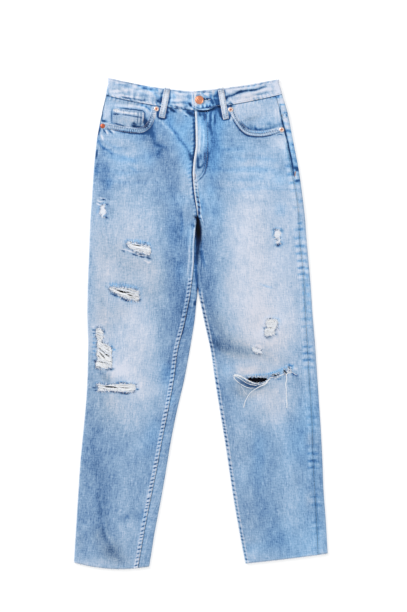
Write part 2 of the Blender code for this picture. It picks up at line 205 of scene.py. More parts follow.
def crossings(names, axis, at):
    """Where the edges of these nodes cross the plane at one x or y."""
    start, end = np.concatenate([node_edges(name) for name in names]).swapaxes(0, 1)
    before, after = start[:, axis] - at, end[:, axis] - at
    cut = before * after < 0
    share = (before[cut] / (before[cut] - after[cut]))[:, None]
    return start[cut] + (end[cut] - start[cut]) * share


def softened(values, reach=4):
    """The same table with its corners rounded, and both of its ends kept."""
    kernel = np.hanning(2 * reach + 3)[1:-1]
    count = np.convolve(np.ones_like(values), kernel, "same")
    middle = np.convolve(values, kernel, "same") / count
    near_end = np.minimum(np.arange(len(values)), np.arange(len(values))[::-1]) / reach
    keep = np.clip(1 - near_end, 0, 1)
    return values * keep + middle * (1 - keep)


def eased(value, low, high):
    """0 below low, 1 above high, and a soft step between them."""
    share = np.clip((value - low) / (high - low), 0, 1)
    return share * share * (3 - 2 * share)


print("front_right has", len(node_edges("front_right")), "edges")

# %% [markdown]
# ## One half of the garment
#
# `Half` holds the tables of one half and lays points on its flattened tube. A place on the tube is its
# distance round it from the outer fold: positive over the top layer, negative over the under layer.
# The seams that run across (waist, band, yoke, hem) are shallow curves, kept as quadratics.

# %% Heights and small wanderings
STATION = 6.0
HEM_CORNER = -456.6
BELOW_HEM = np.array((30.0, 15.0))
CROTCH_Y = 215.0
MOUTH_FLOOR = 374.0
FRONT_TOP = 415.0
YOKE_CORNER = 425.0
WAIST_CORNER = 485.0
CROTCH_BLEND = 22.0
# How far the fly's edge wanders from a straight seam, towards +x, at heights up the garment.
FLY_WANDER = ((230, 0.0), (262, -2.0), (299, -4.0), (327, -2.5), (353, 1.0), (409, 2.0), (440, 0.0))
# How the thighs part just below the crotch: each top layer draws back and the seat shows between. The same table sets
# how deep the painted shadow there is.
PARTING = ((60, 0.0), (78, 0.05), (120, 0.12), (138, 0.45), (154, 0.85), (170, 0.95), (190, 1.0), (202, 0.7),
           (211, 0.2), (217, 0.0))
PARTING_REACH = {"right": 2.8, "left": 5.4}
# How far the under layers of the two thighs reach together there.
MEETING = ((40, 0.0), (70, 1.0), (110, 2.5), (205, 3.0), (217, 0.5), (224, 0.0))


def table(rows, y):
    heights, values = zip(*rows)
    return np.interp(y, heights, values)


print("the fly's edge wanders by up to", max(abs(row[1]) for row in FLY_WANDER), "mm")


# %% One half and its tube
class Half:
    def __init__(self, side, sign):
        self.side, self.sign = side, sign
        front, back, yoke = (f"{kind}_{side}" for kind in ("front", "back", "yoke"))
        self.y = np.arange(HEM_CORNER, WAIST_CORNER, STATION)
        rows = {name: [] for name in ("outer", "inner", "base", "top", "outseam", "inseam")}
        for y in self.y:
            wall = crossings([front, back, yoke, "waistband"], Y, y)
            rows["outer"].append((wall[:, X] * sign).max() * sign)
            if y < YOKE_CORNER:
                rows["base"].append(crossings([back, yoke], Y, y)[:, Z].min())
            if y < FRONT_TOP:
                panel = crossings([front], Y, y)
                centre = crossings([front, back] if y < CROTCH_Y else [front], Y, y)
                edge = (centre[:, X] * sign).min() * sign
                share = (panel[:, X] - rows["outer"][-1]) / (edge - rows["outer"][-1])
                flat = panel[(share > 0.15) & (share < 0.85)][:, Z]
                rows["top"].append(np.median(flat[flat >= np.median(flat)]))
                rows["inner"].append(edge)
                rows["inseam"].append(abs((panel[:, X] * sign).min() * sign - edge))
            if y < MOUTH_FLOOR:
                rows["outseam"].append(abs((panel[:, X] * sign).max() * sign - rows["outer"][-1]))
        self.columns = {}
        for name, row in rows.items():
            row += [row[-1]] * (len(self.y) - len(row))
            column = softened(np.array(row), 10 if name == "top" else 4)
            below = column[0] + (column[0] - column[3]) / (3 * STATION) * BELOW_HEM
            self.columns[name] = np.concatenate((below, column))
        self.columns["inseam"] = np.where(self.columns["inseam"] < 0.3, 0.0, self.columns["inseam"])
        self.y = np.concatenate((self.y[0] - BELOW_HEM, self.y))
        self.seams = {
            "waist": self.across_seam("waistband", np.max, 475),
            "band": self.across_seam("waistband", np.min, 443),
            "yoke": self.across_seam(yoke, np.min, 390),
            "hem": self.across_seam(back, np.min, HEM_CORNER),
        }

    def at(self, column, y):
        return np.interp(y, self.y, self.columns[column])

    def parted(self, y):
        """How far the top layer is drawn back from the middle."""
        return table(PARTING, y) * PARTING_REACH[self.side] * self.sign

    def inner(self, y):
        """The centre front and, below the crotch, the leg's inner fold."""
        return self.at("inner", y) + table(FLY_WANDER, y) * (y > CROTCH_Y) + self.parted(y)

    def across_seam(self, name, pick, near):
        """A seam that runs across, as a quadratic in the share of the way from the outer edge."""
        outer, inner = self.at("outer", near), self.at("inner", near)
        shares, heights = [], []
        for share in np.linspace(0.08, 0.9, 9):
            x = outer + share * (inner - outer)
            y = pick(crossings([name], X, x)[:, Y])
            edge = self.at("outer", y)
            shares.append((x - edge) / (self.at("inner", y) - edge))
            heights.append(y)
        return np.poly1d(np.polyfit(shares, heights, 2))

    def reach(self, y):
        """From the outer fold over the top layer to the centre front or the middle of the inner fold."""
        half = (self.at("top", y) - self.at("base", y)) / 2
        quarter = half * math.pi / 2
        closed = eased(-y, -CROTCH_Y - CROTCH_BLEND, -CROTCH_Y)
        width = np.abs(self.inner(y) - self.at("outer", y))
        return quarter + width - half + closed * (quarter - half), half, quarter, closed, width

    def seam_place(self, column, y):
        """How far round its fold a seam has turned on to the top layer."""
        half = (self.at("top", y) - self.at("base", y)) / 2
        across = self.at(column, y)
        on_fold = half * np.arccos(1 - np.minimum(across, half) / half)
        return np.where(across < half, on_fold, across + half * (math.pi / 2 - 1))

    def lay(self, upper, lower, share, places, depth=0.0):
        """Points at these places round the tube, each a share of the way from one seam to the next."""
        y = upper(0.5) * (1 - share) + lower(0.5) * share
        for _ in range(5):
            reach, half, quarter, closed, width = self.reach(y)
            place = places(y, reach)
            layer = np.where(place >= 0, 1.0, -1.0)
            along = np.abs(place)
            past = along > reach
            layer = np.where(past, -layer, layer)
            along = np.where(past, 2 * reach - along, along)
            radius = half - depth
            angle = np.minimum(along, quarter) / half
            across = half - radius * np.cos(angle) + np.maximum(along - quarter, 0)
            rise = radius * np.sin(angle)
            far = np.clip((reach - along) / half, 0, math.pi / 2)
            on_far = (reach - along < quarter) & (closed > 0)
            folded = width - half + radius * np.cos(far)
            across = np.where(on_far, across + (folded - across) * closed, across)
            rise = np.where(on_far, rise + (radius * np.sin(far) - rise) * closed, rise)
            share_across = np.clip(across / width, 0, 1)
            y = upper(share_across) * (1 - share) + lower(share_across) * share
        rise = rise * layer
        x = self.at("outer", y) - self.sign * across
        lowness = 1.1 * eased(-rise / half, -1, 0) + 0.45 * np.clip(-rise / half, 0, 1)
        x = x - self.parted(y) * lowness * eased(across / width, 0.6, 1.0)
        x = x - self.sign * table(MEETING, y) * lowness * eased(across / width, 0.8, 1.0)
        z = self.at("base", y) + half + rise
        return Laid(x, y, z, place, reach, np.clip(rise / half, -1, 1), share_across)

    def line(self, places, y, away=0.0):
        """Plan points of a line on the tube. y is a list of heights, or the name of a crosswise seam."""
        at = self.seams[y] - away if isinstance(y, str) else (lambda share: y)
        found = self.lay(at, at, 0.0, lambda y, reach: places(y, reach) if callable(places) else places)
        return np.stack((found.x, found.y), axis=1)


print("a half is read at every", STATION, "mm")


# %% Both halves
class Across:
    """A crosswise seam: its height at each share of the way from the outer edge."""

    def __init__(self, rise):
        self.rise = rise

    def __call__(self, share):
        return self.rise(share)

    def __sub__(self, away):
        return Across(lambda share: self.rise(share) - away)


Laid = namedtuple("Laid", "x y z place reach rise across")
HALVES = {"right": Half("right", -1), "left": Half("left", 1)}
# The waistband sags a little under its button.
SAG = 4.5
straight = HALVES["left"].seams["band"]
sagging = Across(lambda share: straight(share) - SAG * np.exp(-(((share - 0.9) / 0.08) ** 2)))
HALVES["left"].seams["band"] = sagging
for half in HALVES.values():
    hem = half.seams["hem"]
    print(half.side, "hem from", round(hem(0)), "to", round(hem(1)), "waist", round(half.seams["waist"](0)))

# %% [markdown]
# ## Randomness that repeats
#
# Cloth is never even, but the script has to give the same jeans each run. `mottle` reads soft patches
# from a seeded table, in any size and stretched along or across the leg. `wave` is a wavering ripple:
# a seam that was sewn tight shrinks in the wash and ropes up in little diagonal humps like these.

# %% Mottles and ripples
LATTICE = 64


def mottle(x, y, across, along, seed):
    """Soft patches from -1 to 1, of about this size in millimetres."""
    values = np.random.default_rng(seed).uniform(-1, 1, (LATTICE, LATTICE))
    u, v = x / across + 100, y / along + 100
    i, j = np.floor(u).astype(int), np.floor(v).astype(int)
    a, b = eased(u - i, 0, 1), eased(v - j, 0, 1)
    corner = [values[(i + di) % LATTICE, (j + dj) % LATTICE] for di in (0, 1) for dj in (0, 1)]
    return (corner[0] * (1 - b) + corner[1] * b) * (1 - a) + (corner[2] * (1 - b) + corner[3] * b) * a


def wave(along, away, spacing, seed, slant=0.4):
    """Uneven ripples from -1 to 1 along a seam, slanting as they leave it."""
    drift = mottle(along, along * 0, spacing * 2.6, 1.0, seed)
    uneven = 0.3 if spacing < 10 else 0.5
    strength = 1 - uneven + uneven * mottle(along, along * 0, spacing * 1.7, 1.0, seed + 1)
    return np.sin(math.tau * (along + slant * away) / spacing + 2.8 * drift) * strength


print("a mottle reaches", round(float(mottle(np.arange(500.0), np.zeros(500), 9, 9, 1).max()), 2))

# %% [markdown]
# ## Creases and folds
#
# Laid cloth keeps the shape of the last wearer and of the shelf: a bent knee, a soft diagonal at the
# calf, faint whiskers at the hip. Each is a line with a half-width and a height; a negative height is a
# trough. They are placed one by one and fade out at both ends. They lift only the top layer.

# %% The creases of the top layer
# Each row: x and y of both ends, the half-width, the height.
CREASES = (
    (34, -42, 122, -60, 15, 2.3), (40, -66, 118, -78, 13, -0.7), (150, -72, 222, -52, 22, 1),
    (-36, -96, -112, -74, 20, 0.9), (-214, -108, -176, -92, 12, 1), (-30, -236, -122, -262, 30, 1.2),
    (-206, -342, -190, -424, 13, 1.7), (-190, -424, -156, -478, 12, 1.5),
    (-140, -330, -118, -440, 26, -0.8), (90, -388, 196, -350, 34, 1.1), (175, -230, 182, -420, 15, 1.1),
    (-66, 420, -22, 316, 13, 1.4), (-40, 420, -16, 372, 9, -0.8), (-104, 366, -30, 338, 12, -0.9),
    (-118, 338, -34, 320, 11, 0.9), (-196, 332, -150, 314, 12, 0.8), (28, 334, 160, 344, 8, 0.5),
    (24, 308, 150, 312, 9, -0.5), (34, 286, 170, 296, 9, 0.5), (12, 262, 120, 250, 14, 0.5),
    (-200, 280, -90, 262, 14, 0.5), (-60, 250, -14, 200, 12, 0.8), (6, 236, 70, 186, 14, 0.8),
    (-210, 130, -188, 20, 18, -0.7),
)


def ridge(x, y, x0, y0, x1, y1, half_width):
    """1 along a line, falling softly to 0 at its half-width and towards its ends."""
    length = math.hypot(x1 - x0, y1 - y0)
    along = ((x - x0) * (x1 - x0) + (y - y0) * (y1 - y0)) / length
    away = ((y - y0) * (x1 - x0) - (x - x0) * (y1 - y0)) / length
    away = away + 0.25 * half_width * mottle(along, along * 0, length * 0.3, 1, int(abs(x0)))
    past = np.maximum(0, np.maximum(-along, along - length)) / (0.35 * length)
    inside = np.clip(1 - (away / half_width) ** 2 - past**2, 0, 1)
    ends = 0.55 + 0.45 * np.sin(math.pi * np.clip(along / length, 0, 1))
    return inside**2 * ends


def creased(x, y):
    lift = sum(height * ridge(x, y, *line) for *line, height in CREASES)
    lift = lift + 0.45 * mottle(x, y, 60, 85, 21) + 0.16 * mottle(x, y, 17, 30, 22)
    return lift + 0.05 * mottle(x, y, 6, 9, 23)


print(len(CREASES), "creases, the highest", max(row[-1] for row in CREASES), "mm")

# %% [markdown]
# ## Seams
#
# A felled seam is a flat strip of several layers, so it stands above the panel. An open seam is a
# groove between two soft shoulders. Both rope: `pucker` is the height of the ripples, `wave` their
# spacing. Wear follows height, so each kind also says how much darker its hollows and how much paler
# its ridges are. Each kind also paints shade: `line` is a painted shade line beside the seam, and the
# hollows of a felled strip take painted shade too. Wear and that painted shade are why old denim
# shows its sewing so clearly here.

# %% Kinds of seam
Seam = namedtuple("Seam", "rise width groove pucker wave slant dark pale body line inset", defaults=(0.0,))
PLAIN = Seam(0.0, 1.0, 0.0, 0.0, 10.0, 0.0, 0.0, 0.0, 0.0, 0.0)
FELLED = Seam(0.75, 7.5, 0.0, 0.34, 8.0, 0.25, 1.25, 0.14, 0.60, 0.10)
FELLED_EDGE = Seam(0.65, 8.0, 0.0, 0.24, 8.4, 0.25, 0.95, 0.18, 0.72, 0.45, 4.4)
OPEN = Seam(0.35, 9.0, 0.25, 0.34, 15.0, 0.12, 0.42, 0.16, 0.10, 0.30, 1.5)
RIDGE = Seam(0.60, 3.0, 0.0, 0.05, 20.0, 0.0, 0.05, 0.05, 0.40, 0.10)
TUCKED = Seam(0.35, 7.0, 0.5, 0.26, 8.0, 0.3, 0.30, 0.16, 0.0, 0.95)
FLY_FOLD = Seam(1.15, 3.6, 0.0, 0.10, 20.0, 0.0, 0.10, 0.06, 0.44, 0.0)
RAW = Seam(0.25, 2.5, 0.0, 0.30, 23.0, 0.0, 0.10, 0.12, 0.12, 0.0)


def seam_form(seam, away, along, seed):
    """(lift, wash, bluer, bare, shade) of a seam at this distance from it."""
    body = eased(seam.width + 1.4 - away, 0, 2.2)
    rims = np.exp(-(((away - 0.9) / 1.1) ** 2)) + np.exp(-(((away - seam.width + 0.4) / 1.0) ** 2))
    ripple = wave(along, away, seam.wave, seed, seam.slant)
    near = eased(seam.width + 5 - away, 0, 7)
    strip = body * (seam.body > 0.2)
    held = strip * (1 - 0.3 * np.minimum(rims, 1)) if seam.body > 0.2 else near
    hollow = np.clip(-ripple - 0.1, 0, 1) * held
    uneven = 1 + 0.5 * mottle(along, along * 0, 7, 1, seed + 3)
    # `line` is a painted shade line along the seam at its inset. The hollows of a felled strip also get painted shade.
    line = seam.line * uneven * np.exp(-(((away - seam.inset) / 1.2) ** 2))
    lift = seam.rise * body - seam.groove * np.exp(-((away / 0.9) ** 2)) + seam.pucker * ripple * near
    wash = seam.pale * np.maximum(ripple, 0) * near - seam.dark * hollow
    wash = wash + seam.body * body * (0.45 + 0.75 * rims) - 0.45 * line
    bluer = seam.dark * hollow * (2.2 - 1.2 * strip) + 1.4 * line
    bare = 0.55 * seam.body * strip * (0.3 + rims)
    return lift, wash, bluer, bare, 0.6 * line + 0.4 * seam.dark * hollow * strip


print("a felled seam is", FELLED.width, "mm wide")

# %% [markdown]
# ## Rips
#
# A rip in denim cuts the blue lengthways yarns and leaves the white crosswise ones, so a hole is
# crossed by white threads, pushed apart into black slits. Each rip below has its side, the turn of its
# threads in degrees, how much of it they fill, its outline (x, y, x, y and so on) and its slits: a
# half-height and a line each. A rip that isn't open is worn white but still closed. All are given one
# by one, as no two are alike.

# %% Outlines and slits of the rips
Rip = namedtuple("Rip", "side open turn fill outline slits", defaults=((),))
RIPS = {
    "thigh_upper": Rip("right", True, -12, 1, (
        -149, 161, -141, 161.5, -128, 159, -114, 156, -103, 153.5, -99.5, 148, -101, 141, -103, 136.5,
        -110, 138.5, -117, 140.5, -124, 143, -131, 144, -138, 149, -145, 154), (
        (1.1, -138, 158, -128, 156, -117, 154), (0.4, -126, 147, -113, 143.5))),
    "thigh_lower": Rip("right", True, -17, 0.66, (
        -183, 71.5, -174, 72.5, -165, 71.5, -155, 71.5, -147, 70, -138, 68.5, -127, 65.5, -123, 60, -124,
        54, -122, 48, -127, 44, -136, 47.5, -146, 49, -156, 53, -163, 56.5, -171, 61, -178, 66), (
        (1.9, -172, 69.5, -163, 65.5, -152, 62.5, -140, 62), (1.3, -147, 58, -136, 55), (0.5, -160, 70.5,
        -132, 66.5))),
    "knee_right": Rip("right", True, -28, 0.9, (
        -209, -10, -203, -9, -198, -12, -195, -20, -195, -30, -197, -37, -190, -41, -182, -45, -178, -52,
        -178, -62, -177, -72, -177, -84, -181, -89, -190, -90, -198, -89, -206, -88.5, -211, -84, -209,
        -76, -206, -70, -209, -62, -206, -52, -208, -42, -206, -32, -210, -24), (
        (1.5, -198, -38, -194.5, -39.5), (1, -195, -42, -187, -46), (1.2, -205, -44, -201, -52, -191,
        -59), (1.6, -203, -57, -195, -66, -191, -73), (1.9, -190, -61, -183, -66), (1.2, -206, -76, -190,
        -79), (1, -207, -62, -200, -71), (1.1, -211, -86, -197, -88.5))),
    "shin_right": Rip("right", True, -1, 0.9, (
        -209, -122, -198, -121.5, -188, -123.5, -178, -123, -168, -121.5, -156, -120.5, -144, -121, -133,
        -122, -130, -128, -132, -134, -140, -136, -150, -137, -160, -136, -168, -135, -180, -134.5, -194,
        -135, -206, -134, -204, -128), (
        (1.8, -194, -126, -176, -127, -164, -129), (0.9, -163, -127.8, -142, -129), (0.8, -205, -128.5,
        -190, -131))),
    "knee_left": Rip("left", True, 0, 0, (
        91, -112, 96, -109, 103, -107.5, 112, -108, 122, -108.5, 132, -109, 134, -111, 127, -115.5, 118,
        -118.5, 110, -118, 102, -116, 95, -114)),
    "knee_left_slit": Rip("left", True, 0, 0, (
        143, -101.4, 150, -102.4, 156, -101, 157, -102.6, 150, -104.6, 144, -103.4)),
    "knee_left_corner": Rip("left", True, 0, 0, (
        165, -92, 168, -93, 171, -96, 172.5, -99.5, 170, -100.5, 167, -98, 165, -95)),
    "knee_left_tip": Rip("left", True, 0, 0, (
        174, -86.5, 177, -88, 179, -91, 177, -91.5, 175, -89.5)),
    "small_left": Rip("left", False, 38, 0, (
        104, -49, 110, -50, 116, -53, 122, -57, 120, -60, 114, -58.5, 108, -56, 104, -53)),
    "patch_left": Rip("left", True, 2, 1, (
        131, 6, 134, 8, 143, 8.5, 151, 7.5, 153.5, 4, 153, -3, 151, -9, 147, -13, 149, -18, 145, -22, 138,
        -24, 130, -24, 127, -20, 127, -13, 130, -10, 133, -8.5, 131, -4, 130, 2), (
        (0.9, 134.5, -9, 138, -8.6, 142, -7.5),)),
    "outer_left": Rip("left", False, 0, 0, (
        147.5, 184.5, 152, 186, 157.5, 185, 158.5, 180, 158, 174, 158.5, 168, 158.5, 163, 155, 160.5, 152,
        162, 154, 167, 153, 171, 149, 172.5, 147, 177)),
    "worn_right": Rip("right", False, 0, 0, (
        -200, 231, -196, 236, -193, 235, -192, 228, -190, 220, -191, 214, -196, 215, -199, 219, -203, 221,
        -201, 226)),
}


print(len(RIPS), "rips with", sum(len(rip.slits) for rip in RIPS.values()), "slits")


# %% Torn edges
def smooth_line(points, steps=8, closed=False):
    """A Catmull-Rom curve through points given as pairs or as x, y, x, y and so on."""
    points = np.reshape(points, (-1, 2)).astype(float)
    if closed:
        ring = np.concatenate((points[-1:], points, points[:2]))
    else:
        ring = np.concatenate((2 * points[:1] - points[1:2], points, 2 * points[-1:] - points[-2:-1]))
    share = np.arange(steps)[:, None] / steps
    found = []
    for a, b, c, d in zip(ring, ring[1:], ring[2:], ring[3:]):
        bend = (2 * a - 5 * b + 4 * c - d) * share**2 + (3 * b - a - 3 * c + d) * share**3
        found.append(0.5 * (2 * b + (c - a) * share + bend))
    found = np.concatenate(found)
    return found if closed else np.concatenate((found, points[-1:]))


def torn(outline, seed):
    """The outline with ragged edges."""
    loop = smooth_line(outline, 7, closed=True)
    ragged = np.random.default_rng(seed).normal(0, 0.55, loop.shape) * (0.5, 1.0)
    return loop + ragged


OUTLINES = {name: torn(rip.outline, 60 + number) for number, (name, rip) in enumerate(RIPS.items())}


def to_outline(x, y, loop):
    """(distance to a closed outline, negative inside it; the nearest point's x and y)."""
    best = np.full(np.shape(x), 1e9)
    near_x, near_y = np.array(x, float), np.array(y, float)
    inside = np.zeros(np.shape(x), bool)
    for (x0, y0), (x1, y1) in zip(loop, np.roll(loop, -1, axis=0)):
        run = max((x1 - x0) ** 2 + (y1 - y0) ** 2, 1e-9)
        share = np.clip(((x - x0) * (x1 - x0) + (y - y0) * (y1 - y0)) / run, 0, 1)
        at_x, at_y = x0 + share * (x1 - x0), y0 + share * (y1 - y0)
        away = np.hypot(x - at_x, y - at_y)
        closer = away < best
        best, near_x, near_y = (
            np.where(closer, away, best), np.where(closer, at_x, near_x), np.where(closer, at_y, near_y)
        )
        crosses = (y0 > y) != (y1 > y)
        with np.errstate(divide="ignore", invalid="ignore"):
            inside ^= crosses & (x < (x1 - x0) * (y - y0) / (y1 - y0) + x0)
    return np.where(inside, -best, best), near_x, near_y


print("points in the outlines:", [len(loop) for loop in OUTLINES.values()])

# %% [markdown]
# ## Fades
#
# Stone washing and sanding take the indigo off where the leg bulges. `wash` is how far that has gone:
# 0 is deep indigo and 1 almost white. Each fade is a soft oval on the cloth: where it is, how wide and
# long, how much paler and how much bluer it is in hundredths (below 0 is darker or greyer), and its
# turn in degrees. Zeros at the end are left out. The ovals add up, which is also how the finishing
# works: one pass of the sander over another. Some of the darker, greyer ovals are painted shade
# instead, under the pocket mouths and in soft folds of the thighs, and the marks below lower `wash`
# to paint shade as well.

# %% The fades
Fade = namedtuple("Fade", "x y wide long paler bluer turn", defaults=(0, 0))
BASE_WASH = 0.42
FADES = {
    "right": (
        (-202, 247, 10, 10, 4, -50), (-62, -73, 10, 12, 0, -50), (-182, -153, 12, 12, 8, -40),
        (-242, -433, 8, 16, 0, -50), (-62, 407, 8, 10, -4, 50), (-22, 347, 8, 14, 7, 50),
        (-102, 327, 14, 14, 3, 50), (-22, 307, 8, 14, 0, 50), (-42, 107, 10, 20, -8, 40),
        (-62, -153, 10, 14, 0, 50), (-184, 226, 10, 10, -7, -40), (-82, 227, 12, 14, 6, -40),
        (-140, 62, 52, 176, 33, -60, 2), (-184, -113, 14, 12, 10, -80), (-182, -453, 16, 14, 0, -120),
        (-202, -423, 12, 16, 0, -100), (-162, -473, 16, 10, -6, -100), (-102, 367, 12, 12, 0, -50),
        (-162, 147, 14, 14, 0, -50), (-122, 118, 22, 13, -4, -60), (-142, 347, 16, 12, 0, -40),
        (-162, 27, 16, 14, 5, -50), (-42, 407, 10, 12, 6, -60), (-22, 178, 9, 22, -3, 50),
        (-22, 7, 9, 16, -8, 50), (-34, 247, 16, 14, 0, 45), (-134, 196, 44, 56, 10, -10, 10),
        (-132, -42, 50, 62, 16, -20), (-146, 352, 58, 50, 13, 35), (-68, 338, 32, 48, -14, -50, -25),
        (-46, 110, 30, 190, -14, 10), (-60, -40, 20, 50, -12), (-136, -170, 46, 46, 14, -30),
        (-214, 120, 12, 150, 10, -20), (-208, -240, 22, 70, -10, -20), (-140, -390, 22, 60, 7, -10),
        (-200, -330, 24, 60, -5), (-190, 398, 40, 9, 12, 20), (-30, 282, 13, 62, 26, -30, 2),
        (-48, 366, 16, 28, 18, 40, -25), (-198, 300, 12, 34, -24, 20), (-149, 96, 18, 50, -16, -50, -8),
        (-91, 92, 20, 40, 12, -90), (-33, 38, 15, 36, -12), (-197, 130, 15, 60, 10, -100),
        (-197, 8, 15, 50, 10, -100), (-166, -86, 26, 20, 20, -20), (-115, -124, 26, 18, 16, -20, -25),
        (-66, -92, 16, 32, -14, 80), (-92, -212, 18, 36, -12, 60), (-80, -330, 12, 30, 10),
        (-198, -372, 12, 52, -14), (-206, -478, 60, 9, 20, -30), (-30, 95, 8, 14, 18),
        (-150, -409, 16, 30, 8), (-138, 143, 22, 8, -12, 20), (-45, 405, 40, 22, 0, 80),
        (-32, 350, 16, 44, 2, 60), (-112, 376, 16, 12, -20, 20), (-162, -97, 16, 10, 13),
        (-126, -133, 14, 16, 10), (-54, -180, 12, 24, -12), (-54, 180, 12, 40, -11, 20),
        (-92, 20, 16, 30, -9), (-140, -385, 16, 12, -12), (-172, -457, 14, 12, -12),
        (-165, 130, 22, 26, 0, -35), (-186, -168, 24, 34, 0, -45), (-92, 366, 16, 26, -14),
        (-222, -22, 10, 20, 14), (-33, 24, 12, 28, -10), (-186, 98, 16, 14, 10), (-150, -97, 20, 10, 9),
        (-78, -157, 12, 18, 9), (-222, -268, 12, 30, -10), (-160, 359, 22, 10, 0, -50),
        (-168, 118, 20, 32, 0, -35), (-174, 8, 20, 20, 0, -40), (-222, -90, 16, 80, 0, -40),
        (-174, -450, 18, 20, 0, -60), (-30, 325, 12, 22, 0, 40), (-186, 370, 16, 18, 11),
        (-114, 62, 16, 14, -12, -40), (-198, -12, 16, 16, 8), (-174, -165, 14, 24, 8),
        (-174, -85, 12, 12, 10), (-184, 238, 16, 30, -8), (-220, 120, 8, 20, -9),
        (-174, -458, 14, 10, 0, -50), (-78, 455, 12, 12, 0, 50), (-186, -168, 24, 40, 0, -40),
    ),
    "left": (
        (58, 77, 12, 24, 7, -40), (218, -233, 8, 14, 3, -50), (218, -353, 8, 16, 9, -40),
        (18, 407, 8, 12, 0, 50), (158, 287, 14, 12, -2, 50), (178, 347, 8, 14, 0, 50),
        (18, 267, 10, 14, -2, 50), (58, -13, 14, 12, -5, 50), (-2, 407, 8, 10, -10, 40),
        (-2, 232, 9, 16, -8, 60), (98, -133, 26, 12, 4, -170), (148, -73, 20, 10, 2, -60),
        (98, 327, 14, 10, 3, -40), (78, -53, 16, 12, -5, -120), (122, -25, 20, 14, 7, 110),
        (58, -93, 12, 12, 0, 50), (158, 227, 14, 14, 0, 45), (160, 7, 10, 12, 0, 45),
        (100, 128, 48, 120, 50, -50), (170, 110, 28, 150, 24, -10), (105, 318, 76, 46, 15, 40),
        (105, 258, 56, 26, 6, 10), (24, 352, 15, 62, -24, 90), (26, 258, 18, 50, -6, 50),
        (92, -8, 60, 48, 14, -30), (176, -10, 30, 60, 16, -20), (22, 150, 18, 110, -10, 20),
        (178, -330, 12, 90, 10), (110, -200, 50, 60, 6), (228, -300, 16, 220, -4),
        (138, -155, 30, 36, 30, -120), (100, -96, 30, 13, 22, -100), (122, -46, 42, 34, 12, -120),
        (128, 4, 30, 38, 12, -40), (44, -18, 17, 48, -14, -120, 32), (44, -150, 13, 40, -12, 0, 12),
        (234, 92, 12, 130, 18), (228, -160, 20, 120, 14), (222, -440, 30, 74, 22, 20),
        (78, -265, 16, 60, 10), (116, -272, 12, 60, -9, 30), (130, -388, 18, 50, -9, 20),
        (105, -464, 26, 10, 20), (156, 359, 15, 12, 22), (8, 60, 13, 64, -12), (22, 274, 16, 26, 0, -70),
        (182, -240, 14, 40, 0, 20), (90, -97, 12, 8, 16), (118, -82, 40, 18, 10, 30),
        (110, -150, 30, 16, 5, 90), (222, -385, 14, 30, -8), (114, -432, 22, 34, 9),
        (28, -46, 18, 14, -22, 10), (8, 376, 18, 28, 20, 60), (-4, 285, 12, 30, 16),
        (18, 250, 12, 44, 11), (168, 392, 20, 24, 20), (184, 372, 12, 20, 14, 40), (42, -97, 12, 10, 16),
        (162, -150, 14, 40, 14), (216, -240, 14, 30, -10), (230, -325, 12, 50, -12),
        (160, -433, 16, 12, -10), (92, -132, 16, 18, 0, -60), (216, -200, 26, 110, 0, 50),
        (190, -450, 50, 50, 0, 55), (210, 120, 12, 80, 16), (186, 240, 12, 44, 12),
        (18, -28, 12, 16, -20), (66, -48, 18, 10, -4, -80), (138, -12, 16, 22, 9),
        (234, -170, 10, 50, -7), (234, -409, 12, 14, -9), (30, 404, 30, 18, 0, 80),
        (42, 287, 16, 32, 0, -50), (90, -140, 16, 24, 0, -90), (150, -193, 18, 24, 0, 35),
        (162, 35, 16, 24, 0, 35), (186, 323, 12, 18, 0, 50), (-8, 250, 10, 24, 0, 50),
        (163, 448, 12, 34, 30), (164, 352, 10, 16, 11), (138, -38, 16, 14, 12), (210, 167, 10, 16, 10),
        (78, 208, 34, 30, 8), (106, 30, 24, 50, 5), (186, -217, 12, 12, -9), (88, -305, 10, 20, 8),
        (100, -362, 20, 12, -7), (188, -335, 14, 24, 8), (212, -292, 12, 12, 7), (216, 60, 16, 60, 0, 35),
        (90, -130, 12, 16, 0, -40), (100, -433, 22, 10, 0, -40), (210, -97, 28, 10, 11),
        (162, -250, 12, 60, 6), (108, -440, 24, 20, 0, 50), (54, -50, 24, 14, 0, -80),
    ),
    "seat": (
        (-110, 270, 70, 75, 26), (90, 270, 70, 75, 26), (-120, 40, 60, 150, 14, -10),
        (110, 40, 60, 150, 14, -10), (-160, -380, 60, 100, 8), (160, -380, 60, 100, 8),
    ),
}


def faded(fades, x, y):
    """(wash, bluer) of the bare panel here."""
    wash, bluer = BASE_WASH + 0 * x, 0 * x
    for row in fades:
        fade = Fade(*row)
        turn = math.radians(fade.turn)
        along = (x - fade.x) * -math.sin(turn) + (y - fade.y) * math.cos(turn)
        across = (x - fade.x) * math.cos(turn) + (y - fade.y) * math.sin(turn)
        strength = np.exp(-0.7 * ((across / fade.wide) ** 2 + (along / fade.long) ** 2))
        wash = wash + fade.paler / 100 * strength
        bluer = bluer + fade.bluer / 100 * strength
    wash = wash + 0.045 * mottle(x, y, 26, 40, 31)
    wash = wash + 0.04 * mottle(x, y, 10, 15, 32) + 0.04 * mottle(x, y, 5, 7, 34)
    return wash, bluer + 0.2 * mottle(x, y, 40, 60, 33)


print("fades:", {name: len(row) for name, row in FADES.items()})

# %% [markdown]
# ## Marks
#
# Some features belong to one place: a dark pucker, a worn line, a fold that has been pressed in, a
# painted shadow beside a loop or under a rip. A mark is a line through given points with a half-width.
# It may lift or sink the cloth and change each of the ways it looks, so the same short list serves
# creases, worn colour and painted shade alike.

# %% Marks on the top layer
Mark = namedtuple("Mark", "points half_width lift wash bluer bare shade beat", defaults=(0,) * 6)
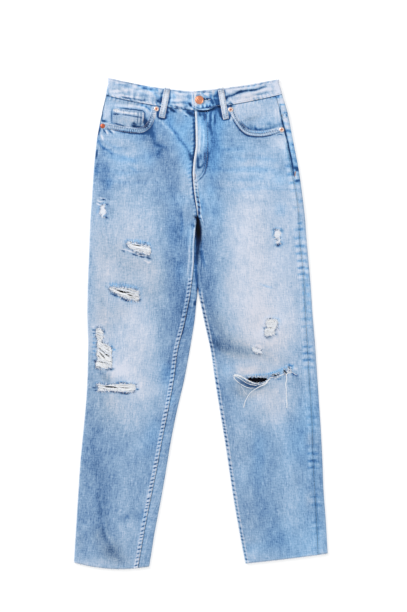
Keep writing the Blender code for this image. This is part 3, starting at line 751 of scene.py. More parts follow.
# Thin lines first: half-width, strength in hundredths, then x and y of each point. Dark ones are painted
# shade, pressed in a little: the shadow lines beside loops, mouths, seams and the fly, with the dark of
# some stitch rows. Blue ones are puckers that kept their indigo, and pale ones are ridges that lost it;
# a few blue ones are painted shade beside the loops and between the thighs.
DARK = (
    # The top rim and the lower seam of the waistband, and the curl over the wearer's left hip.
    (1, 34, -178, 487, -155, 482, -130, 478.3, -100, 474, -82, 470),
    (0.9, 32, -58, 466, -38, 462, -20, 460), (0.9, 32, -12, 463.5, 0, 462, 14, 461.4, 30, 462),
    (0.9, 28, 50, 468, 80, 472, 110, 476, 150, 487),
    (1.7, 85, 50, 449, 56, 454, 66, 456.5, 76, 462, 86, 464.5, 100, 466, 114, 468, 122, 471, 131, 473),
    (0.8, 45, -150, 451.5, -130, 447.6, -112, 444), (1.6, 30, -152, 458, -152, 450),
    (1.6, 30, -134, 455, -133, 448), (1.6, 25, -113, 450, -112, 444), (2.4, 55, -89, 446, -82, 441),
    (1.4, 45, -186, 458, -184, 454), (1.5, 80, -64, 431, -57, 426, -50, 422),
    (2.6, 75, -30, 424, -22, 420, -15, 416), (1, 60, -31, 415, -26, 413),
    (1.2, 45, -64, 436.5, -50, 433, -35, 429.5, -20, 426),
    (1.3, 100, -14, 429, -5, 425.5, 3, 424, 14, 424.5, 26, 428, 37, 432),
    (0.8, 14, 66, 446, 100, 453, 135, 461), (0.8, 14, 70, 450, 110, 457, 150, 466),
    # Beside the belt loops.
    (1.5, 65, -74.5, 470, -76, 462, -78.5, 457, -78.5, 447, -81, 441, -83, 434),
    (1.4, 90, -84.5, 428, -86, 418, -85, 412, -80, 409, -73, 409, -69.5, 412, -69, 417),
    (1.3, 60, -60.6, 468, -61.6, 460, -61.6, 451, -63.5, 443, -66, 433, -67, 427),
    (2, 85, -67, 425, -67, 419), (1.5, 55, 33.4, 466, 34.6, 452),
    (1.5, 95, 35, 450, 37, 432, 39, 420, 42, 412, 46, 408, 52, 408, 57.5, 411, 58.5, 419),
    (1.3, 50, 46.6, 468, 48.5, 456), (1.5, 85, 49.5, 453, 51.2, 446),
    (1.1, 65, 52, 436, 58, 439.5, 65, 437), (1, 80, 53, 433, 60, 434.5, 66, 434),
    # The lap, the buttonhole and the fly.
    (1, 90, 5, 448.6, 12, 448.8, 18, 448.2), (0.8, 50, -8, 430.5, -3, 429, 6, 430, 20, 431.5, 35, 435.5),
    (2, 50, -3, 421, 0, 414), (1.8, 80, 31, 435, 42, 432.5), (1.8, 85, -8, 164, -8.5, 142, -8.5, 118),
    (1.1, 55, -15, 426, -14.4, 400, -13, 376, -13.5, 350, -15.4, 336, -17, 322),
    (3.2, 45, -24, 341, -19, 331, -17.5, 324),
    (1, 50, -17.4, 322, -18, 300, -17, 280, -15, 260, -12.4, 244, -10, 232),
    (0.8, 45, -11, 276, -9, 258, -7, 240), (0.8, 40, -5, 268, -4, 250, -3, 238),
    (2.4, 30, -4, 240, -4, 218),
    (0.9, 50, 13.6, 400, 13.6, 345, 12, 320, 9, 305, 5, 296, -2, 288, -8, 283),
    (0.8, 35, 8.6, 345, 8, 322, 5, 306, 0, 297, -6, 292), (1.8, 50, -6, 336, -6, 322, -5, 311),
    (1.8, 60, -6, 312, -1, 312, 2, 314, 5, 319), (1.2, 35, 0, 339, 0, 328), (1.4, 35, 8, 342, 8, 326),
    (1.4, 35, 14, 342, 13, 316),
    # The coin pocket.
    (0.9, 85, -162, 430.3, -150, 429.2, -138, 427.8, -118, 425, -112.6, 421),
    (1.4, 45, -177, 430, -178.4, 415, -178, 400), (1.1, 70, -174, 418, -163, 418),
    (0.8, 50, -157, 417.5, -145, 416, -130, 413, -118, 411), (0.9, 65, -111.6, 422, -112, 410, -115, 401),
    (0.8, 40, -119, 424, -120, 398), (1, 30, -154, 426, -154, 419), (1, 30, -143, 424, -143, 418),
    (1, 30, -133, 423, -133, 416), (1, 30, -125, 422, -125, 414), (1.1, 30, -126, 412, -127, 397),
    (2.2, 30, -133, 405, -134, 396), (1.6, 65, -136, 393.5, -130, 395), (2, 30, -122, 402, -121, 395),
    (3, 90, -109.5, 409, -110.4, 400, -108, 395), (1.6, 50, -106, 405, -104, 400),
    (1.6, 80, -139, 396, -128, 392.5, -116, 392, -108, 396), (1.2, 50, -138, 400.5, -127, 398),
    (1.2, 50, -160, 454, -150, 450.6, -142, 449), (1.2, 45, -142, 446.5, -132, 444.5),
    (1.8, 80, -24, 440, -18, 433), (1.4, 50, 45, 437, 46, 427), (2.6, 80, -209, -78, -205, -90),
    (2.4, 30, 96, 396, 104, 391), (2.4, 30, 130, 398, 142, 400),
    # The pocket mouths, and the far ends of the facings.
    (1.2, 80, -190, 389, -175, 387, -165, 385, -150, 382, -130, 380, -115, 379.6, -106, 383),
    (2.2, 40, -100, 391, -95.4, 402, -91, 414), (4.5, 45, -113, 384, -104, 386, -99, 391),
    (1, 55, -177, 400.6, -165, 398, -152, 393.6), (0.9, 45, -112, 391.6, -106, 398, -102, 408, -99, 418),
    (1, 60, -195.6, 432, -196.8, 418, -197.4, 405), (1.5, 85, -197, 404.4, -188, 404),
    (1.6, 60, -200, 398, -203, 385, -206, 375), (1.3, 60, -195, 388, -190, 381),
    (1.3, 60, -184, 386, -177, 380), (1.4, 60, -207, 347, -209.4, 330),
    (1.1, 80, 60, 415, 66, 404.6, 74, 392.5, 82, 383, 92, 376.4, 105, 373.4, 125, 373.4, 145, 378, 158,
     383),
    (2.2, 70, 79, 402, 84, 396, 89, 391.5, 98, 388),
    (2.4, 40, 96, 388, 110, 387.5, 125, 387.5, 140, 391, 152, 395.5, 161, 399),
    (1, 45, 152, 375, 157, 378, 164, 376),
    # The wearer's left side seam, as far as its bartack.
    (1.2, 90, 158, 437, 158.5, 425, 161, 412, 163.5, 400, 167, 388, 170, 377, 173, 365, 176, 350, 180,
     332, 183, 316, 184.4, 304, 187.4, 294),
    (2.4, 40, 187, 309, 198, 309), (1.2, 40, 189, 285, 201, 285),
    # Pressed into the cloth beside the rips and between the thighs.
    (0.8, 25, 0.5, 145, 1, 120, 0, 100, 2, 80), (1.6, 80, -11, 44, -13, 36), (1.2, 50, -7, 71, -7, 65),
    (1.2, 40, -20, 62, -26, 35, -33, 0, -38, -25), (1, 80, -136, 138.5, -130, 136.6, -126, 136.4),
    (1, 90, -124, 139, -117, 137), (1, 70, -122, 134.6, -116, 132.6, -111, 133),
    (1, 90, -109, 132, -104, 130.6, -100, 129.4), (1, 40, -158, 146, -152, 144),
    (1, 60, -196, 248.4, -192, 247), (1, 60, -190, 239, -186, 238), (0.9, 45, -201, 235.4, -197, 234.6),
    (1, 50, -190, 212.6, -186, 211), (0.9, 30, -184, 249, -181, 247), (1.2, 45, -114, 161, -108, 160.5),
    (1.4, 50, -180, 60, -172, 56.6, -166, 54), (1.4, 60, -158, 49.6, -150, 46.6, -142, 45.4),
    (1.4, 50, -127, 60, -126, 60.5), (1.4, 55, -120, 50, -123, 45),
    (1.4, 55, -186, -91.6, -178, -91.6, -172, -90), (1.4, 50, -194, -12, -193, -20),
    (1, 45, -217, -13, -210, -13.5), (1, 45, -216, -20, -210, -20), (1.8, 65, -213, -74, -209, -77),
    (1.2, 45, -180, -136.6, -165, -137), (1.5, 65, -163, -137.4, -155, -139, -146, -139.4, -142, -137),
    (1.2, 45, -170, -119.4, -158, -118.6, -145, -119.4), (1.2, 50, -128, -131.5, -124, -132),
    (1, 45, -217, -128, -208, -129), (1, 45, -213, -134, -208, -133), (2.2, 28, 101, -50, 105, -54),
    (1.6, 35, 108, -58.6, 115, -60.6, 123, -61), (2.6, 34, 128, -26, 136, -26.6, 143, -25),
    (2.8, 14, 132, -32.5, 142, -32), (2, 24, 148, -21, 153, -22.5), (1.8, 45, 125.6, -8, 129, -10.4),
    (1.8, 36, 143, 187.4, 149, 187.6, 155, 188), (2.6, 36, 158.6, 186, 163, 185),
    (1.6, 24, 145, 184, 145, 176, 148, 171.4, 152, 170), (2.3, 66, 150, 156.5, 157, 156),
    (2.2, 55, 158, 158, 162, 160.5), (1.8, 30, 136, -106.4, 143, -108.4),
)
print(len(DARK), "dark lines")

# %% Lips, blue lines and pale lines
# Frayed lips of the rips, and pressed lines that come and go, have the spacing of their beads as well.
LIPS = (
    (3, 35, 5, -142, 166, -130, 166.5, -118, 166, -108, 162, -98, 160),
    (4, 40, 5, -150, 168, -148, 164, -147, 160), (3, 30, 6, -160, 146, -150, 146, -140, 147),
    (3.4, 40, 5, -186, 78, -176, 79.5, -160, 79, -146, 77, -132, 73, -120, 70),
    (3, 60, 5, -180, 58.5, -172, 57.5, -166, 55, -158, 50.5, -150, 47.5, -140, 44, -122, 41),
    (3.4, 60, 9, -182, -46, -174, -50, -172, -58), (3, 50, 7, -216, -13, -214, -30, -214, -50, -214, -74),
    (2.6, 40, 4, -170, -119, -158, -118.6, -145, -120), (2.6, 40, 5, -208, -119, -196, -119, -184, -121),
    (2.6, 40, 4, 85, -104, 100, -103, 130, -101, 150, -96, 163, -90),
    (2.6, 30, 6, 175, -82, 182, -84, 185, -88),
    (3.4, 30, 15, 210, 122, 212, 96, 214, 70, 216, 44, 219, 18, 221, -6),
    (2.6, 26, 14, 200, 118, 203, 90, 205, 62, 206, 36, 206, 4), (2.4, 24, 6, 129.5, 9, 129, 2, 129.5, -4),
    (3, 24, 9, 134, 13.5, 143, 14.5, 151, 12.5), (2.6, 20, 7, 156, 8, 157, -6, 157, -16),
)
# The dark beaded rows under the pocket mouths: their stitch lines, with painted shade in the hollows of the puckers.
BEATEN = (
    (2.8, 60, 3.6, -152, 384, -138, 383, -122, 383),
    (0.9, 65, 4.4, -184, 396, -165, 393, -150, 390, -130, 387.6, -116, 388.6, -106, 395, -98.6, 410, -94,
     423),
    (1, 65, 3.4, 65, 421, 72, 405, 80, 393.5, 90, 384.5, 100, 381, 115, 379.5, 130, 381, 152, 388),
)
BLUE = (
    (5, 28, -84, 352, -84, 334), (4, 30, 92, 466, 108, 469), (4, 30, -208, 313, -208, 297),
    (1.6, 50, -90, 441, -86, 434), (3, 100, -113, 472, -101, 468, -92, 466),
    (3, 80, -126, 476, -118, 472, -112, 470), (2, 60, -89, 471, -86, 463), (3, 60, 4, 420, 10, 414),
    (2.2, 80, -7, 226, -5, 210), (3, 35, 2, 166, 0, 150, 4, 130, 7, 114), (5, 20, -116, -378, -112, -396),
    (2, 40, -5, 72, -3, 55), (7, 22, -184, 292, -184, 266), (3, 30, -175, 478, -150, 475, -128, 467),
    (3, 28, -128, 466, -108, 455), (3.4, 45, -97, 463, -86, 453, -80, 446), (3, 30, -57, 458, -50, 452),
    (2.6, 25, -42, 446, -30, 440, -22, 436), (3, 15, 85, 472, 115, 476), (2, 60, 142, 452.5, 160, 453),
    (0.9, 30, -14, 462, -14, 440), (1.2, 50, 0, 463, 4, 457, 10, 453.5, 15, 451),
    (2.4, 90, 20, 456, 21, 446, 24, 437), (2.8, 100, 30, 463, 31, 450, 32, 436),
    (1.4, 70, 26, 455, 27, 444), (1.4, 60, 4, 438, 4, 430), (1.4, 60, 12, 439, 12, 431),
    (1.4, 50, 18, 438, 18, 431), (3, 60, 7, 421, 9, 404), (2.6, 60, 20, 424, 19, 400, 21, 380),
    (2, 50, 28, 421, 28, 395), (6, 10, 22, 404, 25, 366, 23, 330),
    (1.4, 50, -130, 438, -112, 434.4, -103, 428, -97, 423), (2, 50, 108, 395, 110, 388, 122, 388),
    (1.3, 60, 158, 437, 169, 437), (1.6, 60, 163, 420.5, 176, 421), (2.2, 60, 171, 385, 182, 382),
    (2.6, 60, 179, 358, 188, 357), (1.6, 45, 183, 343, 191, 342), (1.8, 45, 187, 326, 194, 325),
    (2.8, 80, 187, 309, 198, 309), (1.5, 70, 189, 285, 201, 285), (1.3, 45, 194, 244, 207, 244),
    (1.3, 40, 193, 200, 206, 200), (1.3, 40, 194, 188, 207, 188),
    # Below the pockets: the drag lines towards the fly, and painted shade under the coin pocket.
    (5, 34, -100, 388, -95, 372, -91, 357), (3, 26, -96, 357, -82, 355, -68, 352),
    (3, 45, -62, 396, -51, 381, -42, 368, -32, 356, -25, 345, -20, 335),
    (2.6, 45, -206, 372, -203, 361, -195, 351, -184, 345, -175, 338),
    (3.5, 20, -174, 337, -150, 331, -128, 322), (3, 18, -143, 313, -126, 303),
    (3, 22, -40, 226, -38, 200, -40, 172), (6, 60, -5, 430, 10, 430.5, 26, 432, 42, 435),
    (2.4, 80, -11, 136, -10.5, 118, -9.5, 100, -8, 84, -7, 68), (4, 40, -6, 236, -4, 214),
    (3, 40, -16, 198, -12, 190), (2.2, 50, -137, -131.5, -127, -132), (4, 30, 150, 158, 161, 158),
    (1.6, 60, 152, -111, 160, -111), (1.6, 60, 182, -99, 187, -102, 194, -104),
    (1.6, 50, 175, -83, 180, -84, 184, -87),
)
PALE = (
    (3, 45, -52, 438, -36, 436), (3, 26, 194, 241, 196, 221), (6, 16, -62, -24, -62, -46),
    (2.4, 36, 8, 459, 16, 459), (6, 16, 76, -80, 74, -116), (8, 12, -188, -236, -188, -258),
    (4, 14, -36, 94, -36, 68), (3, 26, 183, -88, 193, -91), (4, 24, 84, 441, 104, 444),
    (5, 18, 39, 353, 54, 352), (5, 18, -84, 377, -84, 361), (5, 14, 14, 215, 14, 195),
    (5, 14, -162, -397, -162, -413), (3, 42, 160, 418, 163, 409), (2.4, 55, 60, 417, 63, 405),
    (2.4, 55, -92, 420, -91, 406), (3, 22, 170, 374, 174, 360), (3, 24, -206, 352, -203, 338),
    (2, 30, 22, 463, 30, 461), (3, 22, 68, 436, 80, 438), (2.2, 26, 22, 404, 22, 390),
    (2.6, 26, 0, 321, 0, 309), (1.8, 20, -19, 284, -20, 252), (4, 12, -180, -483, -168, -486),
    (2.4, 30, -172, 464, -150, 466, -122, 470), (2, 30, -165, 457, -140, 452, -118, 452),
    (1.4, 50, -16.4, 466, -16.4, 448, -16.4, 428), (1.3, 70, -11.6, 465, -11.6, 452, -11, 441, -8, 435),
    (1.4, 40, -8, 441, -1, 436), (1.2, 40, 0, 438, 0, 430), (1.2, 40, 8, 438, 8, 430),
    (1.2, 30, 15, 438, 15, 431), (0.9, 50, -9, 428.4, 0, 427.2, 12, 427.4, 26, 430),
    (1.2, 30, 14, 420, 14, 402), (1.6, 36, -2, 412, -1.5, 380, -3, 350, -5, 340),
    (1.4, 30, 4, 396, 6, 370, 4, 348), (2.2, 30, -40, 452, -30, 449, -22, 447),
    (1.8, 34, -52, 462, -40, 457, -30, 455), (2.2, 34, 62, 470, 80, 476, 100, 479),
    (2.2, 30, 84, 456, 110, 462, 140, 468), (1.5, 25, 24, 420, 24, 402),
    (2, 34, -42, 427, -31, 420, -24, 412),
    (1.8, 60, -10, 424, -8.4, 400, -7.4, 376, -8.6, 350, -11, 332, -13.4, 312, -13.6, 296),
    (2.2, 40, -13, 300, -12, 282, -9, 262),
    (2.5, 34, -176, 436, -150, 434.6, -126, 433.6, -112, 430, -104, 421), (6, 12, -189, 436, -189, 406),
    (1.1, 40, -115.4, 422, -116, 398), (1.6, 30, -173, 424, -150, 421, -122, 418),
    (1.4, 60, -190, 386, -186, 379), (1.4, 50, -199, 378, -195, 366), (1.4, 40, -180, 388, -172, 381),
    (2.6, 20, -90, 414, -75, 399, -60, 384, -46, 371), (1.6, 18, 148, 442, 150, 402),
    (1.4, 18, 154, 432, 156, 404), (3, 30, 166, 412, 169, 404, 172, 396), (1.6, 50, 190, 302, 190, 290),
    (5, 24, 162, 459, 163, 430), (5, 20, 186, 391, 187, 375),
    (1.8, 35, -28, 92, -24, 120, -22, 160, -20, 190), (3, 20, 108, -45, 116, -46, 124, -48),
    (1.1, 45, -158, 148.6, -149, 147, -140, 144, -133, 141), (1.1, 55, -208, 240, -200, 236, -192, 234),
    (1, 45, -207, 246, -200, 243, -193, 245), (0.9, 40, -202, 251, -196, 250, -190, 250),
    (0.9, 45, -130, 139, -122, 136.6, -113, 135.6), (1.2, 35, -112, 126, -105, 122, -99, 124),
    (1.6, 50, 156, 168, 157, 165), (1.4, 30, 204, 108, 214, 106), (1.4, 30, 198, 92, 214, 90),
    (1.4, 30, 206, 74, 218, 73), (1.4, 30, 208, 28, 221, 26),
)
print(len(LIPS), "lips,", len(BLUE), "blue lines and", len(PALE), "pale ones")

# %% Broad marks, and all of them together
# The others: points, half-width, lift, wash, bluer, bare, shade, beat.
OTHERS = (
    # The roll of cloth above the curl, the greyed coin pocket, its pale bartack, and painted lavender shade under the
    # band seam and on the left facing.
    ((54, 456, 70, 466, 96, 470, 118, 474), 5, 0.7, 0.2),
    ((50, 449, 62, 457, 79, 463, 98, 465, 118, 469, 133, 473), 3, -0.9),
    ((-172, 407, -146, 404, -120, 401), 9, 0, 0.05, -1.4),
    ((-172, 426, -165, 425.4), 2.6, 0.2, 0.3, 0, 1),
    ((-173, 425, -145, 421.4, -116, 418), 4, 0.2, 0.1, -0.4, 0.34),
    ((-180, 447, -150, 441, -122, 437), 3.4, 0, -0.1, -1.2, 0, 0.08),
    ((88, 407, 104, 410, 118, 417), 3.4, 0, -0.12, -1.2),
    # Whiskers across both hips, and the soft shadows of knee and calf.
    ((36, 352, 56, 348, 80, 349), 4.5, -0.3, -0.1, 0.3),
    ((60, 334, 84, 328, 108, 332, 150, 326), 4, -0.3, -0.1, 0.3),
    ((24, 310, 60, 306, 104, 309, 160, 304), 4.5, -0.4, -0.12, 0.3),
    ((70, 318, 110, 320, 160, 315), 4, 0.3, 0.07), ((40, 290, 80, 287, 130, 291), 4, -0.3, -0.09, 0.2),
    ((50, 298, 100, 298, 150, 294), 3.5, 0.3, 0.06),
    ((30, 270, 70, 266, 120, 271, 170, 268), 4.5, -0.3, -0.08, 0.2),
    ((-196, 366, -170, 352, -140, 350), 4, -0.3, -0.12, 0.4),
    ((-200, 344, -160, 326, -120, 330), 4.5, -0.3, -0.1, 0.3),
    ((-198, 310, -150, 300, -96, 306), 5, -0.3, -0.08, 0.2),
    ((-190, 286, -140, 280, -80, 284), 4.5, -0.3, -0.08, 0.2),
    ((26, -40, 60, -49, 92, -57, 128, -62), 9, -0.6, -0.16, -2),
    ((38, -56, 70, -66, 104, -72), 6, 0.6, 0.06),
    ((-204, -339, -196, -413, -178, -449, -160, -477), 4, -0.7, -0.14, -0.2),
    ((-198, -339, -189, -410, -171, -446), 3.5, 0.6, 0.09),
    ((-150, -383, -145, -390), 4, -0.3, -0.24, 0.2),
    ((-204, -92, -192, -104, -180, -124), 7, -0.6, -0.24, -0.8),
    ((114, 81, 130, 75, 144, 71), 1.6, 0, -0.14, 0.9), ((-128, 412, -116, 402), 9, 0, 0, -1.6),
    ((-46, 428, -38, 426), 6, 0, 0.14, -0.8), ((36, 438, 38, 420), 6, 0, -0.24, 1.2),
    ((98, 384, 118, 382, 136, 386), 3, 0, -0.14, 0.9),
    ((-160, 387, -142, 385, -124, 385), 3, 0, -0.02, 0.8),
    ((-150, 167, -138, 166.5, -124, 164, -110, 161, -99, 158), 3.6, 0.2, -0.1, 1.5, 0, 0, 3.2),
    ((-186, 79, -174, 78.5, -160, 78, -146, 76, -132, 72, -120, 68), 4.4, 0.2, -0.12, 1.5, 0, 0, 3.2),
    ((-174, 58, -160, 50, -146, 45, -124, 41), 2.6, 0.2, -0.1, 1.2, 0, 0, 3.2),
    # The lip, the drag lines and the shadow under the torn knee.
    ((84, -104, 100, -103, 130, -101, 150, -96, 163, -90), 2, 0.6, -0.1, 0.8),
    ((74, -112, 88, -120, 104, -125, 118, -125, 130, -120), 6.5, -0.3, -0.52, -1.4, 0, 0.12),
    ((136, -108, 144, -112, 152, -113, 162, -111, 176, -106), 2.2, -0.3, -0.16, 0, 0, 0.14, 4),
    ((182, -100, 190, -106, 192, -114), 5, -0.3, -0.16, -0.4),
    # The painted shadow in the corner at the crotch.
    ((-13, 214, -9, 211, -4, 205), 2.8, 0, -0.2, 0, 0, 1.2),
    ((-14, 196, -12, 194), 1.8, 0, -0.2, 0, 0, 0.5),
)


def thin_marks(rows, wide, lift, *looks):
    """Marks of one kind: each look is a share of the row's strength."""
    for half, strength, *rest in rows:
        beat = rest.pop(0) if len(rest) % 2 else 0
        yield Mark(rest, wide * half, lift, *(look * (strength / 100) for look in looks), beat=beat)


MARKS = [
    *thin_marks(DARK, 1.4, -0.25, -1.1, 1.8, 0, 0.75),
    *thin_marks(BEATEN, 1.2, -0.1, -0.6, 0.8, 0, 0.8),
    *thin_marks(BLUE, 1.1, -0.25, -0.8, 2.0),
    *thin_marks(LIPS, 1, 0.15, -0.5, 2.6),
    *thin_marks(PALE, 1.15, 0.2, 1.2, -0.4, 0.6),
    *(Mark(*row) for row in OTHERS),
]
print(len(MARKS), "marks")


# %% What the marks do at a point
def around(x, y, line, reach):
    """Whether each point lies in the box of a line, made wider by this much."""
    low, high = line.min(axis=0) - reach, line.max(axis=0) + reach
    return (x > low[0]) & (x < high[0]) & (y > low[1]) & (y < high[1])


def marked(x, y, rise):
    """(lift, wash, bluer, bare, shade) of all the marks here."""
    looks = np.zeros((5, len(x)))
    for mark in MARKS:
        line = smooth_line(mark.points, 5)
        near = around(x, y, line, mark.half_width * 2) & (rise > 0)
        if not near.any():
            continue
        there, along, length = to_line(x[near], y[near], line)
        uneven = 1 + 0.35 * mottle(x[near], y[near], 5, 5, int(line[0].sum()) % 97)
        strength = np.exp(-((there / mark.half_width) ** 2)) * uneven * np.sqrt(np.sin(math.pi * along))
        if mark.beat:
            strength = strength * np.clip(wave(along * length, there, mark.beat, 9, 0.2) + 0.2, 0, 1) * 1.2
        looks[:, near] += np.outer(mark[2:7], strength)
    return looks


def to_line(x, y, line):
    """(distance to an open line, how far along it from 0.04 to 0.96, its length)."""
    best, found = np.full(np.shape(x), 1e9), np.zeros(np.shape(x))
    for number, ((x0, y0), (x1, y1)) in enumerate(zip(line, line[1:])):
        run = max((x1 - x0) ** 2 + (y1 - y0) ** 2, 1e-9)
        share = np.clip(((x - x0) * (x1 - x0) + (y - y0) * (y1 - y0)) / run, 0, 1)
        away = np.hypot(x - x0 - share * (x1 - x0), y - y0 - share * (y1 - y0))
        found = np.where(away < best, (number + share) / (len(line) - 1), found)
        best = np.minimum(best, away)
    return best, 0.04 + 0.92 * found, np.hypot(*np.diff(line, axis=0).T).sum()


print("the widest mark reaches", max(mark.half_width for mark in MARKS), "mm to each side")

# %% [markdown]
# ## From grid to cloth
#
# A cut piece starts as a flat grid from one operator. `Cut` says where on the tube it lies: between
# which crosswise seams, and at which places round the tube. Its grid lines crowd together near seams
# and folds, where the form is fine, and spread out in the middle. The form adds creases and seams to
# the bare tube, and the same distances paint the wear and the painted shade of the seams, so form and
# colour can't drift apart.

# %% Cut pieces
Cut = namedtuple(
    "Cut", "side upper lower marks steps rows depth edges seed holes gone lift fades passes",
    defaults=((), (), None, None, ()),
)
Edge = namedtuple("Edge", "of seam low high", defaults=(-900.0, 900.0))
Form = namedtuple("Form", "x y z place reach rise looks")
START, END, TOP, LOW = range(4)
LAID, UNCUT, SHEETS = {}, {}, []
BACKS = ("back_right_panel", "back_left_panel")
RESTS = {"front": BACKS, "facing": BACKS}
LOOKS = ("wash", "bluer", "bare", "shade")
# No cloth comes lower than this, and rays start above all of it.
LOWEST, RAY_START = 0.05, 80.0
# Where a panel's grid is made finer: by marks up to this half-width, as far from them as the second number.
FINE_PASSES = ((3.6, 2.8), (2.3, 1.2))


def grid_place(cut, i, y, reach):
    """The place on the tube of a grid line, whose number may have a fraction."""
    marks = cut.marks(y, reach)
    found, first = np.zeros_like(i), 0
    for start, end, steps in zip(marks, marks[1:], cut.steps):
        found = np.where(i >= first, start + (end - start) * (i - first) / steps, found)
        first += steps
    return found


def rip_looks(side, x, y):
    """(lift, wash, bluer, bare, shade) around the rips of this side."""
    looks = np.zeros((5, len(x)))
    for name, rip in RIPS.items():
        loop = OUTLINES[name]
        near = around(x, y, loop, 25)
        if rip.side != side or not near.any():
            continue
        away, near_x, near_y = to_outline(x[near], y[near], loop)
        fuzz = 0.5 + 0.5 * mottle(x[near], y[near], 2.4, 4.5, 41)
        if not rip.open:
            looks[3][near] += (0.35 + 1.1 * fuzz) * eased(-away, -1.0, 1.2)
            looks[1][near] += 0.2 * eased(-away, -2.0, 2.0)
        away = np.maximum(away, 0)
        above = np.clip((y[near] - near_y) / np.maximum(away, 0.6), -1, 1)
        looks[0][near] += 0.45 * np.exp(-away / 3.0) * (0.4 + 0.6 * fuzz) * rip.open
        looks[1][near] += (0.3 * fuzz - 0.16) * np.exp(-((away / 5) ** 2)) - 0.1 * np.exp(-((away / 2) ** 2))
        looks[2][near] += (0.75 + 0.4 * above) * np.exp(-((away / 6.0) ** 2))
        looks[3][near] += 0.9 * fuzz**3 * np.exp(-((away / 2.4) ** 2))
        # Painted shadow below the lower lip of an open rip.
        looks[4][near] += 0.34 * np.clip(-above, 0, 1) * fuzz * np.exp(-((away - 1.5) / 2.0) ** 2) * rip.open
    return looks


def placed(cut, i, share):
    """Every point of a cut piece on the bare tube."""
    half = HALVES[cut.side]
    places = lambda y, reach: grid_place(cut, i, y, reach)
    return half.lay(half.seams[cut.upper], half.seams[cut.lower], share, places, cut.depth)


def form(cut, i, share):
    """Every point of a cut piece, and how it looks there."""
    half = HALVES[cut.side]
    upper, lower = half.seams[cut.upper], half.seams[cut.lower]
    laid = placed(cut, i, share)
    x, y, z, place, reach, rise, across = laid
    marks = cut.marks(y, reach)
    away = (np.abs(place - marks[0]), np.abs(marks[-1] - place), upper(across) - y, y - lower(across))
    lift = creased(x, y) * np.clip(rise, 0, 1) + (cut.lift(x, y, rise) if cut.lift else 0)
    wash, bluer = faded(FADES[cut.fades or cut.side], x, y)
    if cut.fades == "band":
        wash = wash + 0.30 * mottle(x + 0.6 * y, y, 22, 4.5, 51) + 0.24 * mottle(x, y, 6, 8, 52)
    if not cut.fades:
        wash = wash + 0.055 * mottle(x, y, 30, 4.0, 61) * eased(y, 180, 250) * (1 - eased(y, 385, 415))
    seat_wash, seat_bluer = faded(FADES["seat"], x, y)
    front = 1.0 if cut.fades else eased(rise, -0.6, 0.6)
    wash, bluer = seat_wash + (wash - seat_wash) * front, seat_bluer + (bluer - seat_bluer) * front
    # Painted shadow between the thighs: the folds there are darkened, and so is the edge of the seat below them. Past
    # a shade of 1 it turns near black.
    gap_shadow = np.sqrt(table(PARTING, y)) * eased(across, 0.9, 0.96)
    gap_shadow = gap_shadow * (1 - eased(rise, 0.55, 0.98)) * eased(rise, -0.75, -0.4)
    seat = 0.6 * (y > 40) * (y < 222) * eased(across, 0.96, 1) * (1 - eased(rise, -0.1, 0.4))
    shade = (0.6 + 1.5 * eased(y, 150, 185)) * gap_shadow + seat
    looks = np.array((lift, wash, bluer, 0 * x, shade))
    layer = np.where(rise > 0, 1.0, 0.5)
    for edge in cut.edges:
        along = y if edge.of in (START, END) else x
        held = eased(y, edge.low - 7, edge.low + 7) * (1 - eased(y, edge.high - 7, edge.high + 7))
        sewn = seam_form(edge.seam, away[edge.of], along, int(10 * edge.seam.wave) + cut.seed % 100)
        looks += np.array((sewn[0] * held * layer, *(new * held for new in sewn[1:])))
    looks += marked(x, y, rise)
    if cut.holes:
        looks += rip_looks(cut.side, x, y)
    z = np.maximum(z + looks[0] * rise, LOWEST)
    return Form(x, y, z, place, reach, rise, dict(zip(LOOKS, looks[1:])))


print("a cut is told by", ", ".join(Cut._fields))


# %% From a shape to an object
def smooth_surface(mesh, degrees=60):
    mesh.shade_smooth()
    mesh.set_sharp_from_angle(angle=math.radians(degrees))


def add_wall(piece, wall):
    solidify = piece.modifiers.new("wall", "SOLIDIFY")
    solidify.thickness, solidify.offset = wall * MM, -1.0


def store(mesh, name, values):
    mesh.attributes.new(name, "FLOAT", "POINT").data.foreach_set("value", values.astype(np.float32))


def linked(name, data):
    """A new object of this data, in the scene."""
    made = bpy.data.objects.new(name, data)
    bpy.context.scene.collection.objects.link(made)
    return made


def spread_on(mesh, looks, u, v):
    """Stores how each point looks as attributes, and its place in the cloth as a UV map in metres."""
    for name, values in looks.items():
        store(mesh, name, values)
    corners = np.empty(len(mesh.loops), np.int32)
    mesh.loops.foreach_get("vertex_index", corners)
    grain = np.stack((u, v), axis=1)[corners] * MM
    mesh.uv_layers.new(name="cloth").data.foreach_set("uv", grain.ravel().astype(np.float32))


def finished(name, shape, material, slot="denim"):
    """The object of a bmesh in millimetres: it rides on the one body and takes this finish."""
    mesh = bpy.data.meshes.new(name)
    bmesh.ops.scale(shape, vec=Vector((MM, MM, MM)), verts=shape.verts)
    shape.to_mesh(mesh)
    shape.free()
    piece = linked(name, mesh)
    mesh.materials.append(material)
    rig.ride(piece, "root")
    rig.slot(piece, slot)
    return piece


print("every object rides on the one body")


# %% Finer grids and open holes
def params(shape, cut):
    """(grid line, share of the way down) of every vertex of the flat grid."""
    at = np.array([vert.co[:2] for vert in shape.verts])
    return (at[:, 0] + 0.5) * sum(cut.steps), 0.5 - at[:, 1]


def split(shape, near, steep=False):
    """Makes the grid finer where both ends of an edge are near. steep takes only its lengthways edges."""
    at = np.array([vert.co[:2] for vert in shape.verts])
    ends = np.array([[vert.index for vert in edge.verts] for edge in shape.edges])
    chosen = near[ends].all(axis=1)
    if steep:
        chosen &= np.abs(at[ends[:, 0], 0] - at[ends[:, 1], 0]) < 1e-6
    edges = [edge for edge, take in zip(shape.edges, chosen) if take]
    if edges:
        bmesh.ops.subdivide_edges(shape, edges=edges, cuts=1, use_grid_fill=True)
        shape.verts.index_update()


